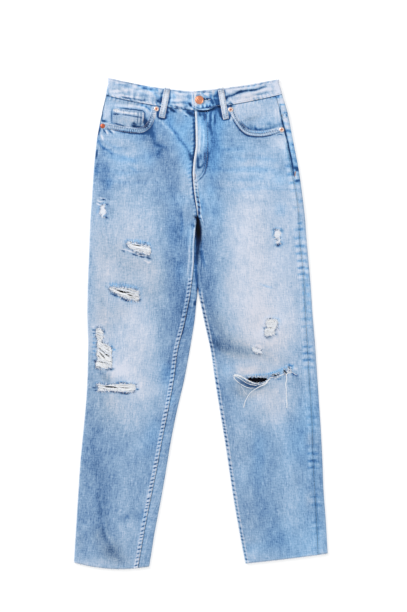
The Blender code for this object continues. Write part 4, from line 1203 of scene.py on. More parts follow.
def finer(shape, cut):
    """Points where they are needed: along the seams, the thin marks and the rims of the rips."""
    for end in (0, -1) if len(cut.passes) > 1 else ():
        here = placed(cut, *params(shape, cut))
        from_end = np.abs(here.place - cut.marks(here.y, here.reach)[end])
        split(shape, (from_end < 9.6) & (here.rise > -0.2), steep=True)
    for thin, reach in cut.passes:
        here = placed(cut, *params(shape, cut))
        near = np.zeros(len(here.x), bool)
        for mark in MARKS:
            if mark.half_width <= thin and not near.all():
                near |= by_line(here, smooth_line(mark.points, 4), reach + mark.half_width * 0.5)
        split(shape, near)
    for loop in cut.holes:
        here = placed(cut, *params(shape, cut))
        ring = np.concatenate((loop, loop[:1]))
        split(shape, by_line(here, ring, 2.6))


def by_line(here, line, reach):
    """Whether each point of the top layer lies this close to a line."""
    near = around(here.x, here.y, line, reach) & (here.rise > 0.3)
    near[near] = to_line(here.x[near], here.y[near], line)[0] < reach
    return near


def open_up(shape, loops, inside=True):
    """Takes out the faces inside each outline, or else those outside it."""
    centres = np.array([face.calc_center_median() for face in shape.faces])
    for loop in loops:
        gone = (to_outline(centres[:, 0], centres[:, 1], loop)[0] < 0) == inside
        faces = [face for face, out in zip(shape.faces, gone) if out]
        bmesh.ops.delete(shape, geom=faces, context="FACES")
        centres = centres[~gone]


def snapped(x, y, loop, reach, where=True):
    """The points that lie close to an outline, moved on to it."""
    away, near_x, near_y = to_outline(x, y, loop)
    snap = (np.abs(away) < reach) & where
    return np.where(snap, near_x, x), np.where(snap, near_y, y)


print("thin marks, up to this half-width in mm, are given a finer grid:", FINE_PASSES[0][0])


# %% A piece of cloth
def cloth(name, cuts, material, wall=1.0, reverse=None):
    """A piece of cloth from one cut, or from several that are joined where their ends meet."""
    whole, found = bmesh.new(), []
    number = whole.verts.layers.int.new("number")
    for cut in cuts:
        shape = bmesh.new()
        bmesh.ops.create_grid(shape, x_segments=sum(cut.steps), y_segments=cut.rows, size=0.5)
        finer(shape, cut)
        at = form(cut, *params(shape, cut))
        x, y = at.x, at.y
        for loop in cut.holes:
            x, y = snapped(x, y, loop, 0.55, at.rise > 0.3)
        first = sum(len(old.x) for old in found)
        layer = shape.verts.layers.int.new("number")
        for vert, co in zip(shape.verts, np.stack((x, y, at.z), axis=1)):
            vert.co = co
            vert[layer] = first + vert.index
        marks = cut.marks(at.y[:1], at.reach[:1])
        if (marks[-1] > marks[0]) == (HALVES[cut.side].sign > 0):
            bmesh.ops.reverse_faces(shape, faces=shape.faces)
        UNCUT[name] = BVHTree.FromBMesh(shape)
        open_up(shape, (*cut.holes, *cut.gone))
        part = bpy.data.meshes.new("part")
        shape.to_mesh(part)
        shape.free()
        whole.from_mesh(part)
        bpy.data.meshes.remove(part)
        found.append(at)
    if len(cuts) > 1:
        bmesh.ops.remove_doubles(whole, verts=whole.verts, dist=0.3)
    LAID[name] = BVHTree.FromBMesh(whole)
    number = whole.verts.layers.int["number"]
    order = np.array([vert[number] for vert in whole.verts])
    piece = finished(name, whole, material)
    looks = {k: np.concatenate([at.looks[k] for at in found])[order] for k in found[0].looks}
    u = np.concatenate([at.place - at.reach / 2 for at in found])[order]
    spread_on(piece.data, looks, u, np.concatenate([at.y for at in found])[order])
    smooth_surface(piece.data)
    add_wall(piece, wall)
    if reverse:
        piece.data.materials.append(reverse)
        piece.modifiers["wall"].material_offset = 1
    flat, area = np.zeros(2), 0.0
    for cut, at in zip(cuts, found):
        y = np.linspace(at.y.min(), at.y.max(), 60)
        marks = cut.marks(y, HALVES[cut.side].reach(y)[0])
        width = np.abs(marks[-1] - marks[0]) + 0 * y
        flat = np.array((flat[0] + width.max(), np.ptp(at.y)))
        seams = HALVES[cut.side].seams
        area += width.mean() * abs(seams[cut.upper](0.5) - seams[cut.lower](0.5))
    SHEETS.append((piece, flat, min(area, flat[0] * flat[1]), RESTS.get(name.split("_")[0], ())))
    print(f"{name}: {len(piece.data.polygons)} faces, flat {flat.round()}")
    return piece


def surface(x, y, names, below=False, uncut=False):
    """The height of the outermost of these pieces at each plan point."""
    turn, trees = (-1.0 if below else 1.0), (UNCUT if uncut else LAID)
    found = []
    for at in zip(x, y):
        start = Vector((*at, RAY_START * turn))
        hits = [trees[name].ray_cast(start, Vector((0, 0, -turn))) for name in names]
        heights = [hit[0].z * turn for hit in hits if hit[0]]
        found.append(turn * max(heights) if heights else np.nan)
    found = np.array(found)
    known = ~np.isnan(found)
    if not known.any():
        return found
    return np.interp(np.arange(len(found)), np.flatnonzero(known), found[known])


print("the builder is ready")

# %% [markdown]
# ## Writing a finish
#
# A finish is a small sum: so much fade, plus so much grain, looked up in a row of blues. `Value` wraps
# a socket so that such a sum is written as one, and `Finish.add` puts in any other node. Only sockets
# that change over the surface are linked; constants are set on the shader itself.

# %% Sums of sockets
class Value:
    """A socket that can be used in a sum."""

    def __init__(self, finish, socket):
        self.finish, self.socket = finish, socket

    def math(self, operation, *others, clamp=False):
        node = self.finish.tree.nodes.new("ShaderNodeMath")
        node.operation, node.use_clamp = operation, clamp
        for socket, value in zip(node.inputs, (self, *others)):
            self.finish.feed(socket, value)
        return Value(self.finish, node.outputs[0])

    def __add__(self, other):
        return self.math("ADD", other)

    def __sub__(self, other):
        return self.math("SUBTRACT", other)

    def __mul__(self, other):
        return self.math("MULTIPLY", other)

    def __rsub__(self, other):
        return (self * -1.0) + other

    __radd__, __rmul__ = __add__, __mul__

    def clamped(self):
        return self.math("ADD", 0.0, clamp=True)

    def eased(self, low, high):
        """0 below low, 1 above high, and a soft step between."""
        return self.finish.add(
            "ShaderNodeMapRange",
            {"interpolation_type": "SMOOTHSTEP"},
            {"Value": self, "From Min": low, "From Max": high},
        )


def blue(red, green, light):
    """A colour from its display values, 0 to 255, as the linear numbers that a shader takes."""
    shares = [value / 255 for value in (red, green, light)]
    return tuple(s / 12.92 if s <= 0.04045 else ((s + 0.055) / 1.055) ** 2.4 for s in shares) + (1.0,)


print("1 - mask is written as a sum")


# %% A material under construction
class Finish:
    """A material under construction."""

    def __init__(self, name, **constants):
        self.material = bpy.data.materials.new(name)
        self.material.use_nodes = True
        self.tree = self.material.node_tree
        self.shader = self.tree.nodes["Principled BSDF"]
        for socket, value in constants.items():
            self.shader.inputs[socket.replace("_", " ")].default_value = value

    def feed(self, socket, value):
        if isinstance(value, Value):
            self.tree.links.new(value.socket, socket)
        else:
            socket.default_value = value

    def add(self, kind, settings=None, values=None, out=0):
        """Any node: its settings first, then the values or links of its sockets."""
        node = self.tree.nodes.new(kind)
        for name, setting in (settings or {}).items():
            if name == "stops":
                stops = node.color_ramp.elements
                while len(stops) < len(setting):
                    stops.new(0.5)
                for stop, (position, colour) in zip(stops, setting):
                    stop.position, stop.color = position, colour
            else:
                setattr(node, name, setting)
        for name, value in (values or {}).items():
            self.feed(node.inputs[name], value)
        return Value(self, node.outputs[out])

    def stored(self, name):
        return self.add("ShaderNodeAttribute", {"attribute_name": name}, out="Fac")

    def stretched(self, source, scale, turn=0.0):
        return self.add("ShaderNodeMapping", {}, {"Vector": source, "Scale": scale, "Rotation": (0, 0, turn)})

    def noise(self, source, scale, detail=2.0, rough=0.5, turn=0.0):
        """Noise from -0.5 to 0.5 with this many patches to the metre along each axis."""
        vector = self.stretched(source, scale, turn)
        settings = {"Vector": vector, "Scale": 1.0, "Detail": detail, "Roughness": rough}
        return self.add("ShaderNodeTexNoise", {}, settings) - 0.5

    def mix(self, share, first, second, blend="MIX"):
        settings = {"data_type": "RGBA", "blend_type": blend}
        node = self.add("ShaderNodeMix", settings).socket.node
        for at, value in ((0, share), (6, first), (7, second)):
            self.feed(node.inputs[at], value)
        return Value(self, node.outputs[2])

    def ramp(self, value, stops):
        return self.add("ShaderNodeValToRGB", {"stops": stops}, {"Fac": value})

    def bump(self, height, depth, strength=1.0):
        """depth is what a height of 1 stands for, in metres."""
        return self.add("ShaderNodeBump", {}, {"Height": height, "Distance": depth, "Strength": strength})

    def done(self, colour, normal=None, roughness=None):
        self.feed(self.shader.inputs["Base Color"], colour)
        if normal:
            self.feed(self.shader.inputs["Normal"], normal)
        if roughness:
            self.feed(self.shader.inputs["Roughness"], roughness)
        return self.material


print("every finish has one shader and grows from there")

# %% [markdown]
# ## Denim
#
# Denim is a twill of blue lengthways yarns over white crosswise ones. Uneven yarns, called slubs, run
# down the leg as fine streaks. Each finish below adds that grain to the stored wash, looks the sum up
# in a row of blues, and then lays bare white yarn and painted shade, such as the dark seam lines, over
# it. The weave itself is finer than a millimetre, so it is a bump and a faint diagonal of colour.

# %% Blues and yarns
BLUES = (
    (0.00, blue(48, 82, 128)),
    (0.14, blue(76, 112, 157)),
    (0.28, blue(104, 138, 178)),
    (0.45, blue(133, 163, 195)),
    (0.60, blue(155, 181, 209)),
    (0.75, blue(176, 194, 217)),
    (0.88, blue(191, 204, 223)),
    (1.00, blue(206, 214, 230)),
)
# The colours of painted shade: navy where the shade reaches 1, and near black beyond it for the deepest shadow.
NAVY = blue(14, 34, 70)
DEEP_SHADOW = blue(2, 5, 14)
YARN = blue(238, 238, 240)
YARN_SHADE = blue(196, 205, 220)
WEAVE_DEPTH = 0.0006
# What the blues are multiplied by where the cloth is bluer or greyer.
CLEARER = (0.76, 1.04, 1.18, 1.0)
GREYER = (1.035, 0.97, 0.925, 1.0)
print(len(BLUES), "blues")


# %% Denim and its reverse
def denim(name):
    """Washed denim in its stored looks: the fade, then the tint, the bare yarn and the painted shade with its dark
    lines.
    """
    finish = Finish(name, Roughness=0.88, Specular_IOR_Level=0.12, Sheen_Weight=0.06, Sheen_Roughness=0.5)
    place = finish.add("ShaderNodeUVMap", {"uv_map": "cloth"})
    slub = finish.noise(place, (470, 34, 1), 3.0, 0.65)
    yarn = finish.noise(place, (1100, 70, 1), 2.0)
    weft = finish.noise(place, (60, 900, 1), 2.0)
    cloud = finish.noise(place, (48, 30, 1), 4.0, 0.6)
    streak = finish.noise(place, (120, 420, 1), 2.0)
    grain = finish.noise(place, (520, 240, 1), 2.0, 0.6)
    tone = finish.stored("wash") + grain * 0.55 + slub * 0.58 + yarn * 0.62
    tone = tone + weft * 0.35 + streak * 0.36 + cloud * 0.36
    colour = finish.ramp(tone, BLUES)
    bluer = finish.stored("bluer")
    clear = finish.mix(1.0, colour, CLEARER, "MULTIPLY")
    grey = finish.mix(1.0, colour, GREYER, "MULTIPLY")
    colour = finish.mix(bluer.clamped(), colour, clear)
    colour = finish.mix((bluer * -1.0).clamped(), colour, grey)
    colour = finish.mix((bluer * -1.0 - 1.0).clamped(), colour, finish.mix(1.0, grey, GREYER, "MULTIPLY"))
    twill = finish.noise(place, (1500, 260, 1), 1.0, turn=0.55)
    bare = (finish.stored("bare") * 1.3 + weft * 0.8 + twill * 0.3).eased(0.25, 0.85)
    colour = finish.mix(bare, colour, finish.mix((weft + 0.5).clamped(), YARN_SHADE, YARN))
    # Painted shade: the stored shade darkens the cloth to navy, and past 1 to near black.
    colour = finish.mix((finish.stored("shade") + yarn * 0.1).clamped(), colour, NAVY)
    colour = finish.mix((finish.stored("shade") - 1.0).clamped(), colour, DEEP_SHADOW)
    return finish.done(colour, finish.bump(slub * 0.6 + yarn + twill * 1.4 + weft * 0.5, WEAVE_DEPTH, 0.55))


def reverse_side(name, light):
    """The inside of the cloth: pale weft, or the near-black painted shadow inside a leg."""
    finish = Finish(name, Roughness=0.9, Specular_IOR_Level=0.08)
    place = finish.add("ShaderNodeTexCoord", out="Object")
    weave = finish.noise(place, (900, 900, 900), 2.0)
    colour = finish.mix((weave + 0.5).clamped(), tuple(c * 0.8 for c in light[:3]) + (1.0,), light)
    return finish.done(colour, finish.bump(weave, 0.0004))


DENIM = denim("washed_denim")
REVERSE = reverse_side("denim_reverse", blue(176, 192, 214))
# The inside of the back panels and yokes, seen through the rips, is painted near black as the shadow inside the leg.
INSIDE_SHADOW = reverse_side("inside_of_leg", blue(6, 9, 20))
print("finishes:", DENIM.name, REVERSE.name, INSIDE_SHADOW.name)

# %% [markdown]
# ## The panels
#
# The front panels stop at the centre front, the inseam, the outseam and the waistband. On the right
# leg the inseam has rolled on to the top, so the back panel shows as a strip beside it; on the left leg
# the outseam has. A back panel is therefore wrapped round both folds, with fine lines at each.

# %% Where the panels begin and end
SEAM_GAP = 0.15
NEAR_SEAM, BY_SEAM, FOLD_REACH = 10.0, 24.0, 7.0


def front_marks(side):
    half = HALVES[side]

    def marks(y, reach):
        start = half.seam_place("outseam", y) + SEAM_GAP
        end = reach - half.seam_place("inseam", y) - SEAM_GAP
        return (start, start + NEAR_SEAM, start + BY_SEAM, end - BY_SEAM, end - NEAR_SEAM, end)

    return marks


def back_marks(side):
    half = HALVES[side]

    def marks(y, reach):
        start = -reach - half.seam_place("inseam", y) + SEAM_GAP
        end = half.seam_place("outseam", y) - SEAM_GAP
        near, far = np.maximum(-reach - FOLD_REACH, start + 0.5), np.minimum(end - 0.5, FOLD_REACH)
        return (start, near, -reach + FOLD_REACH, -reach + 21, -21, -FOLD_REACH, far, end)

    return marks


print("a seam leaves", SEAM_GAP, "mm between panels")

# %% The seams and mouths of the panels
FRONT_STEPS = (7, 4, 42, 4, 7)
BACK_STEPS = (10, 12, 4, 34, 4, 12, 8)
FLY_FOOT = 292.0
FRONT_EDGES = {
    "right": (
        Edge(END, FELLED, -900.0, 90.0),
        Edge(END, RIDGE, 92.0, 200.0),
        Edge(END, TUCKED, 205.0, 900.0),
        Edge(START, RAW._replace(rise=0.0, pucker=0.2, wave=13.0), -900.0, 372.0),
        Edge(TOP, TUCKED),
        Edge(LOW, RAW),
    ),
    "left": (
        Edge(END, FELLED_EDGE, -900.0, 64.0),
        Edge(END, FELLED_EDGE._replace(width=7.5, wave=9.0), 205.0, FLY_FOOT),
        Edge(END, FLY_FOLD, FLY_FOOT, 900.0),
        Edge(START, OPEN, -900.0, 360.0),
        Edge(TOP, TUCKED),
        Edge(LOW, RAW),
    ),
}
BACK_EDGES = {
    "right": (
        Edge(START, OPEN._replace(rise=0.1, line=0.55, dark=0.12, wave=9.0, inset=0.5), -900.0, 196.0),
        Edge(END, PLAIN),
        Edge(TOP, FELLED),
        Edge(LOW, RAW),
    ),
    "left": (
        Edge(END, OPEN),
        Edge(TOP, FELLED),
        Edge(LOW, RAW),
    ),
}
# The pocket mouths, from the waistband down and round to the side, and then what lies outside them.
MOUTHS = {
    "right": smooth_line((-95, 438, -96.7, 425.6, -102.5, 406, -109.7, 395, -120.7, 389.5, -137.7, 389,
                         -165.7, 393.4, -189.7, 397.6, -199.5, 399.4), 6),
    "left": smooth_line((57, 438, 64.5, 423, 73, 406, 83, 393, 95, 383.5, 115, 380, 137, 382.5,
                         162, 388.5), 6),
}
BEYOND = {
    "right": np.array((*MOUTHS["right"], (-300, 402), (-300, 520), (-95, 520))),
    "left": np.array((*MOUTHS["left"], (300, 391), (300, 520), (57, 520))),
}
print("edges with a seam:", {side: len(edges) for side, edges in FRONT_EDGES.items()})

# %% The four leg panels and the yokes
for side in HALVES:
    holes = tuple(OUTLINES[name] for name, rip in RIPS.items() if rip.side == side and rip.open)
    front = Cut(side, "band", "hem", front_marks(side), FRONT_STEPS, 350, 0.0, FRONT_EDGES[side], 100,
                holes, (BEYOND[side],), passes=FINE_PASSES)
    back = Cut(side, "yoke", "hem", back_marks(side), BACK_STEPS, 210, 0.0, BACK_EDGES[side], 200)
    yoke = Cut(side, "band", "yoke", back_marks(side), BACK_STEPS, 22, 0.0, (Edge(TOP, TUCKED),), 300)
    for kind, cut, reverse in (("front", front, REVERSE), ("back", back, INSIDE_SHADOW), ("yoke", yoke, INSIDE_SHADOW)):
        piece = cloth(f"{kind}_{side}_panel", (cut,), DENIM, 1.0, reverse)
        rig.replaces(piece, f"{kind}_{side}")

# %% [markdown]
# ## Waistband and facings
#
# The waistband is one strip all the way round. It starts under the lap, passes round the wearer's right
# half and comes back to end on top, with the buttonhole near its end. The facings line the pocket
# mouths one wall lower, and the coin pocket sits on the right-hand one.

# %% Waistband
LAP, LAP_LENGTH, CENTRE = 2.7, 35.0, -14.0
PROUD = 0.5
BAND_SEAM = Seam(0.0, 4.0, 0.0, 0.22, 13.0, 0.6, 0.34, 0.24, 0.10, 0.0)
BAND_EDGES = (Edge(TOP, BAND_SEAM), Edge(LOW, BAND_SEAM._replace(wave=9.0, pucker=0.3)))
LAP_EDGE = Edge(END, FLY_FOLD._replace(rise=0.2, body=0.3))
BUTTONHOLE = smooth_line((0, 447.8, 6, 447.9, 15, 447.6, 17.4, 446.8, 15, 446, 6, 445.7, 0, 445.6), 3, True)
FADES["band"] = (
    (100, 447, 16, 8, 24, -90), (-62, 447, 6, 8, -10, 60), (-22, 447, 6, 8, -12, 50),
    (-42, 447, 6, 7, 18, -60), (-162, 467, 14, 8, 9, -40), (-122, 447, 10, 8, 0, -40),
    (-130, 468, 60, 40, 44, -30), (110, 470, 80, 40, 40, -30), (-56, 450, 40, 40, 10, 20),
    (-12, 448, 5, 22, 28, -10), (6, 438, 26, 12, 6, 30), (160, 466, 22, 30, 36), (-146, 460, 26, 14, -10),
    (-160, 480, 26, 8, 14, -20), (78, 452, 18, 12, 10), (-126, 478, 12, 7, -14), (20, 456, 10, 8, 14),
)


def lap(x, y, rise):
    """The end of the waistband rides over its own beginning."""
    return LAP * (1 - eased(x - CENTRE, LAP_LENGTH, LAP_LENGTH + 10)) * (rise > 0)


def band_cut(side, marks, steps, seed, edges=BAND_EDGES, holes=(), lift=None):
    return Cut(side, "waist", "band", marks, steps, 28, -PROUD, edges, seed, holes, (), lift, "band",
               ((2.4, 1.0),))


waistband = cloth(
    "waistband_strip",
    (
        band_cut("left", lambda y, reach: (reach - LAP_LENGTH, reach), (24,), 400),
        band_cut("right", lambda y, reach: (reach, 7, -7, -reach), (110, 10, 50), 410),
        band_cut("left", lambda y, reach: (-reach, -7, 7, reach), (50, 10, 110), 420, (*BAND_EDGES, LAP_EDGE),
                 (BUTTONHOLE,), lap),
    ),
    DENIM, 2.4,
)
soften = waistband.modifiers.new("fold", "BEVEL")
soften.width, soften.segments = 0.8 * MM, 2
soften.limit_method, soften.angle_limit = "ANGLE", math.radians(60)
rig.replaces(waistband, "waistband")

# %% Facings
FACING_DEPTH = 1.5
FACING_REACH = {"right": 112.0, "left": 124.0}
FADES["facing"] = (
    (98, 407, 16, 12, -10, -30), (-150, 410, 80, 60, 24, 20), (112, 410, 80, 60, 32, 10),
    (112, 404, 30, 10, -14, 30), (78, 431, 14, 12, 12),
)
for side, half in HALVES.items():
    half.seams["facing"] = np.poly1d([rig.box(f"facing_{side}")[0][1] / MM])

    def marks(y, reach):
        start = half.seam_place("outseam", y) + SEAM_GAP
        return (start, FACING_REACH[side])

    cut = Cut(side, "band", "facing", marks, (60,), 36, FACING_DEPTH, (Edge(TOP, TUCKED),), 500,
              fades="facing", passes=((2.4, 1.4),))
    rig.replaces(cloth(f"facing_{side}_panel", (cut,), DENIM, 1.0, REVERSE), f"facing_{side}")

# %% [markdown]
# ## Strips and patches
#
# What is sewn on top of a panel is laid on the cloth that is already there: a ray finds its height at
# each point. A ribbon follows a line: a turned pocket mouth or a belt loop. A patch fills an outline.
# Both have an edge that rolls down, with a pale worn ridge along it, since an edge wears first.

# %% Sewing a flat grid on
def resampled(line, step):
    """The same line with its points about this far apart, and their distances along it."""
    line = np.array(line, float)
    along = np.concatenate(([0], np.cumsum(np.hypot(*np.diff(line[:, :2], axis=0).T))))
    at = np.linspace(0, along[-1], max(int(along[-1] / step), 2) + 1)
    return np.stack([np.interp(at, along, column) for column in line.T], axis=1), at


def area_of(loop):
    """The area inside a closed line, below 0 if it runs clockwise."""
    after = np.roll(loop, -1, axis=0)
    return np.sum(loop[:, 0] * after[:, 1] - after[:, 0] * loop[:, 1]) / 2


def normals_of(line):
    run = np.gradient(line[:, :2], axis=0)
    return np.stack((-run[:, 1], run[:, 0]), axis=1) / np.hypot(*run.T)[:, None]


def heights(x, y, over, below=False):
    """How high the pieces in over reach at each point, or over itself if it is a height."""
    return surface(x, y, over, below) if isinstance(over, (list, tuple)) else over + 0 * x


def sewn_on(name, shape, x, y, over, lift, edge, look, material, wall, below, slot, plain=False):
    """Lays a flat grid on what is there. edge is the distance to its nearest rim."""
    turn = -1.0 if below else 1.0
    rolled = 1 - np.exp(-edge / 0.7)
    z = heights(x, y, over, below) + turn * (lift * rolled + look.get("lift", 0 * x))
    z = np.maximum(z, LOWEST)
    for vert, co in zip(shape.verts, np.stack((x, y, z), axis=1)):
        vert.co = co
    shape.normal_update()
    if sum(face.normal.z for face in shape.faces) * turn < 0:
        bmesh.ops.reverse_faces(shape, faces=shape.faces)
    LAID[name] = BVHTree.FromBMesh(shape)
    piece = finished(name, shape, material, slot)
    looks = {kind: look.get(kind, 0 * x) for kind in LOOKS}
    if not (below or plain):
        looks = {kind: looks[kind] + more for kind, more in zip(LOOKS, marked(x, y, 1.0 + 0 * x)[1:])}
    spread_on(piece.data, looks, look.get("u", x), look.get("v", y))
    smooth_surface(piece.data)
    add_wall(piece, wall)
    return piece


print("a flat grid is laid on what is there")


# %% Ribbons
def ribbon(name, line, width, over, lift, wash, seed, wall=1.0, below=False, pucker=0.2, wave_length=7.0,
           worn=0.16, cream=0.1, row=2.4):
    """A strip along a line, with a dark row painted this far from each of its edges: painted shade where its stitching
    sinks in, deepest in the hollows of its puckers.
    """
    line, along = resampled(line, 1.0)
    rows = 12
    shape = bmesh.new()
    bmesh.ops.create_grid(shape, x_segments=len(line) - 1, y_segments=rows, size=0.5)
    at = np.array([vert.co[:2] for vert in shape.verts])
    i, side = np.rint((at[:, 0] + 0.5) * (len(line) - 1)).astype(int), at[:, 1] * 2
    plan = line[i] + normals_of(line)[i] * (side * width / 2)[:, None]
    edge = (1 - np.abs(side)) * width / 2
    ripple = wave(along[i], side * width / 2, wave_length, seed)
    look = {
        "lift": pucker * ripple * np.minimum(edge / 2, 1),
        "wash": wash + 0.2 * np.exp(-edge / 0.8) + worn * ripple - 0.1 * np.exp(-((edge - 2.4) / 0.9) ** 2),
        "bare": cream + 0.4 * np.exp(-edge / 0.8) * (0.6 + 0.4 * ripple),
        # Painted shade along each row, deepest in the hollows of the puckers.
        "shade": np.exp(-((edge - row) / 0.7) ** 2) * (0.12 + 0.55 * np.maximum(-ripple, 0)),
        "u": side * width / 2,
        "v": along[i],
    }
    is_loop = name.startswith("loop")
    if is_loop:
        for place, strength in ((3.0, 0.3), (6.5, 0.4), (10.0, 0.3)):
            for end in (along[-1] - along[i], along[i]):
                look["shade"] += strength * np.exp(-(((end - place) / 0.9) ** 2)) * eased(edge, 0.8, 1.8)
        streak = np.clip(mottle(side * width, along[i], 1.6, 7, seed + 1), 0, 1)
        streak = streak + 0.4 * eased(along[i], 36, 50)
        look["shade"] += 0.16 * streak
        look["wash"] = look["wash"] - 0.16 * streak
        look["bare"] = look["bare"] - 0.22 * streak
        look["bluer"] = 0.8 * streak
    piece = sewn_on(name, shape, plan[:, 0], plan[:, 1], over, lift, edge, look, DENIM, wall, below, "denim",
                    is_loop)
    SHEETS.append((piece, (width, along[-1]), width * along[-1], over))
    return piece


print("a ribbon follows a line")


# %% Patches
def patch(name, outline, over, lift, wash, seed, material=None, wall=1.0, below=False, step=2.2,
          slot="denim"):
    """A piece that fills an outline, from a grid with cells of about this step."""
    loop = np.array(outline, float)
    low, high = loop.min(axis=0), loop.max(axis=0)
    columns, rows = (int(size / step) + 1 for size in high - low)
    shape = bmesh.new()
    bmesh.ops.create_grid(shape, x_segments=columns, y_segments=rows, size=0.5)
    at = (np.array([vert.co[:2] for vert in shape.verts]) + 0.5) * (high - low) + low
    x, y = snapped(at[:, 0], at[:, 1], loop, 0.55 * step)
    for vert, co in zip(shape.verts, zip(x, y)):
        vert.co = (*co, 0.0)
    open_up(shape, (loop,), inside=False)
    loose = [vert for vert in shape.verts if not vert.link_faces]
    bmesh.ops.delete(shape, geom=loose, context="VERTS")
    x, y = np.array([vert.co[:2] for vert in shape.verts]).T
    edge = np.abs(to_outline(x, y, loop)[0])
    ripple = wave(x + y, edge, 8.0, seed)
    look = {
        "lift": 0.16 * ripple * np.exp(-edge / 5) * np.minimum(edge, 1) + 0.3 * eased(9.5 - edge, 0, 1.5),
        "wash": wash + 0.16 * np.exp(-edge / 1.2) + 0.12 * ripple * np.exp(-edge / 6)
        + 0.05 * mottle(x, y, 9, 14, seed),
        # Painted shade in the hollows of the puckers along the stitch row, and on the back pockets a darker line
        # there.
        "shade": (0.14 * np.maximum(-ripple, 0) + 0.5 * below) * np.exp(-((edge - 2.6) / 1.0) ** 2),
    }
    piece = sewn_on(name, shape, x, y, over, lift, edge, look, material or DENIM, wall, below, slot)
    SHEETS.append((piece, high - low, abs(area_of(loop)), over if isinstance(over, tuple) else BACKS))
    return piece


print("a patch fills an outline")

# %% Coin pocket and mouths
COIN = ((-175, 431), (-144, 427.7), (-113, 424.5), (-113.6, 410), (-116.5, 400), (-122, 394.5),
        (-138, 393), (-158, 394.5), (-176.5, 397))
coin_pocket = patch("coin_pocket_patch", COIN, ("facing_right_panel",), 0.9, 0.57, 601, step=1.1)
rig.replaces(coin_pocket, "coin_pocket")
# How far each turned rim lies from its mouth, and how washed it is.
RIMS = {"right": (3.2, 0.66), "left": (0.9, 0.74)}


def outward_from(mouth, side, away):
    """The line of a pocket mouth, moved this far outward."""
    outward = normals_of(mouth)
    return mouth + outward * np.sign(outward[0, 0]) * -HALVES[side].sign * away


for side, (away, wash) in RIMS.items():
    names = (f"front_{side}_panel", f"facing_{side}_panel")
    line = outward_from(MOUTHS[side], side, away)[4:]
    ribbon(f"mouth_{side}", line, 11.0, names, 0.75, wash, 610, wave_length=4.4, row=5.0, cream=0.25)
print(len(RIMS), "mouths")

# %% Loops
LOOPS = {
    "loop_front_right": ((-67, 470), (-70.5, 449), (-78, 411)),
    "loop_front_left": ((39.5, 470), (43, 449), (50.5, 408)),
    "loop_back_right": ((-118, 475), (-120, 413)),
    "loop_back_left": ((92, 475), (94, 413)),
    "loop_back_centre": ((-14, 463), (-14, 402)),
}
for name, line in LOOPS.items():
    behind = "back" in name
    side = "left" if "left" in name else "right"
    over = ("waistband_strip", f"{'yoke' if behind else 'front'}_{side}_panel")
    line = smooth_line(line, 8) if len(line) > 2 else line
    piece = ribbon(f"{name}_strip", line, 12.0, over, 1.5, 0.92, 620, 1.3, behind, 0.1, 5.0, 0.04, 0.52, 2.8)
    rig.replaces(piece, name)
print(len(LOOPS), "belt loops")

# %% Back pockets and fly shield
POCKET = ((-152, 362), (-95, 353.5), (-38, 345), (-40, 290), (-42, 236), (-95, 205), (-148, 236), (-150, 300))
SEAT_MIDDLE = -12
POCKETS = {"right": POCKET, "left": tuple((2 * SEAT_MIDDLE - x, y) for x, y in POCKET)}
for side, outline in POCKETS.items():
    over = (f"back_{side}_panel",)
    piece = patch(f"pocket_back_{side}_patch", outline, over, 1.0, 0.62, 630, below=True, step=3.0)
    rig.replaces(piece, f"pocket_back_{side}")

SHIELD = ((-22, 284), (24, 284), (24, 420), (-22, 420))
SHIELD_HEIGHT = 4.69
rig.replaces(patch("fly_shield_patch", SHIELD, SHIELD_HEIGHT, 0.0, 0.5, 640, step=4.0), "fly_shield")
print(len(POCKETS), "back pockets and a shield behind the fly")

# %% [markdown]
# ## Thread
#
# Thread is everywhere on denim: rows of stitches, bartacks, the white crosswise yarns over a rip, blue
# fluff along its edges, the fringe of a raw hem. Each is a line with a thickness. All the lines of one
# kind become one mesh, and every line keeps its own shade as an attribute.

# %% Thread
def thread_finish():
    finish = Finish("thread", Roughness=0.85, Sheen_Weight=0.2)
    place = finish.add("ShaderNodeTexCoord", out=3)
    fluff = finish.noise(place, (900, 900, 900), 2.0)
    stops = ((0.0, blue(52, 84, 130)), (0.3, blue(120, 146, 182)), (0.6, blue(184, 198, 218)),
             (1.0, blue(248, 248, 248)))
    colour = finish.ramp(finish.stored("tone") + fluff * 0.25, stops)
    colour = finish.mix(finish.stored("tan").clamped(), colour, blue(196, 136, 88))
    return finish.done(colour, finish.bump(fluff, 0.0002))


THREAD = thread_finish()
CHANCE = np.random.default_rng(11)


def threads(name, lines, thick, tones, tan=0.0):
    """One mesh of many lines in millimetres, each with its own thickness and shade."""
    curve = bpy.data.curves.new(name, "CURVE")
    curve.dimensions, curve.bevel_depth, curve.bevel_resolution = "3D", MM / 2, 0
    for line, width in zip(lines, thick):
        line = np.array(line)
        line[:, 2] = np.maximum(line[:, 2], width / 2 + 0.02)
        spline = curve.splines.new("POLY")
        spline.points.add(len(line) - 1)
        spline.points.foreach_set("co", np.c_[line * MM, np.ones(len(line))].ravel())
        taper = np.full(len(line), width)
        taper[[0, -1]] *= 0.2
        spline.points.foreach_set("radius", taper.astype(np.float32))
    holder = linked(name + "_lines", curve)
    mesh = bpy.data.meshes.new_from_object(holder.evaluated_get(bpy.context.evaluated_depsgraph_get()))
    bpy.data.objects.remove(holder)
    # Without a bevel's rounding, every point of a line becomes a square of four.
    counts = [4 * len(line) for line in lines]
    assert sum(counts) == len(mesh.vertices), (sum(counts), len(mesh.vertices))
    mesh.name = name
    mesh.shade_smooth()
    mesh.materials.clear()
    mesh.materials.append(THREAD)
    store(mesh, "tone", np.repeat(tones, counts))
    store(mesh, "tan", np.repeat(np.broadcast_to(tan, len(lines)), counts))
    piece = linked(name, mesh)
    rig.ride(piece, "root")
    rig.slot(piece, "denim")
    print(f"{name}: {len(lines)} lines, {len(mesh.polygons)} faces")
    return piece


print("thread has its own finish,", THREAD.name)


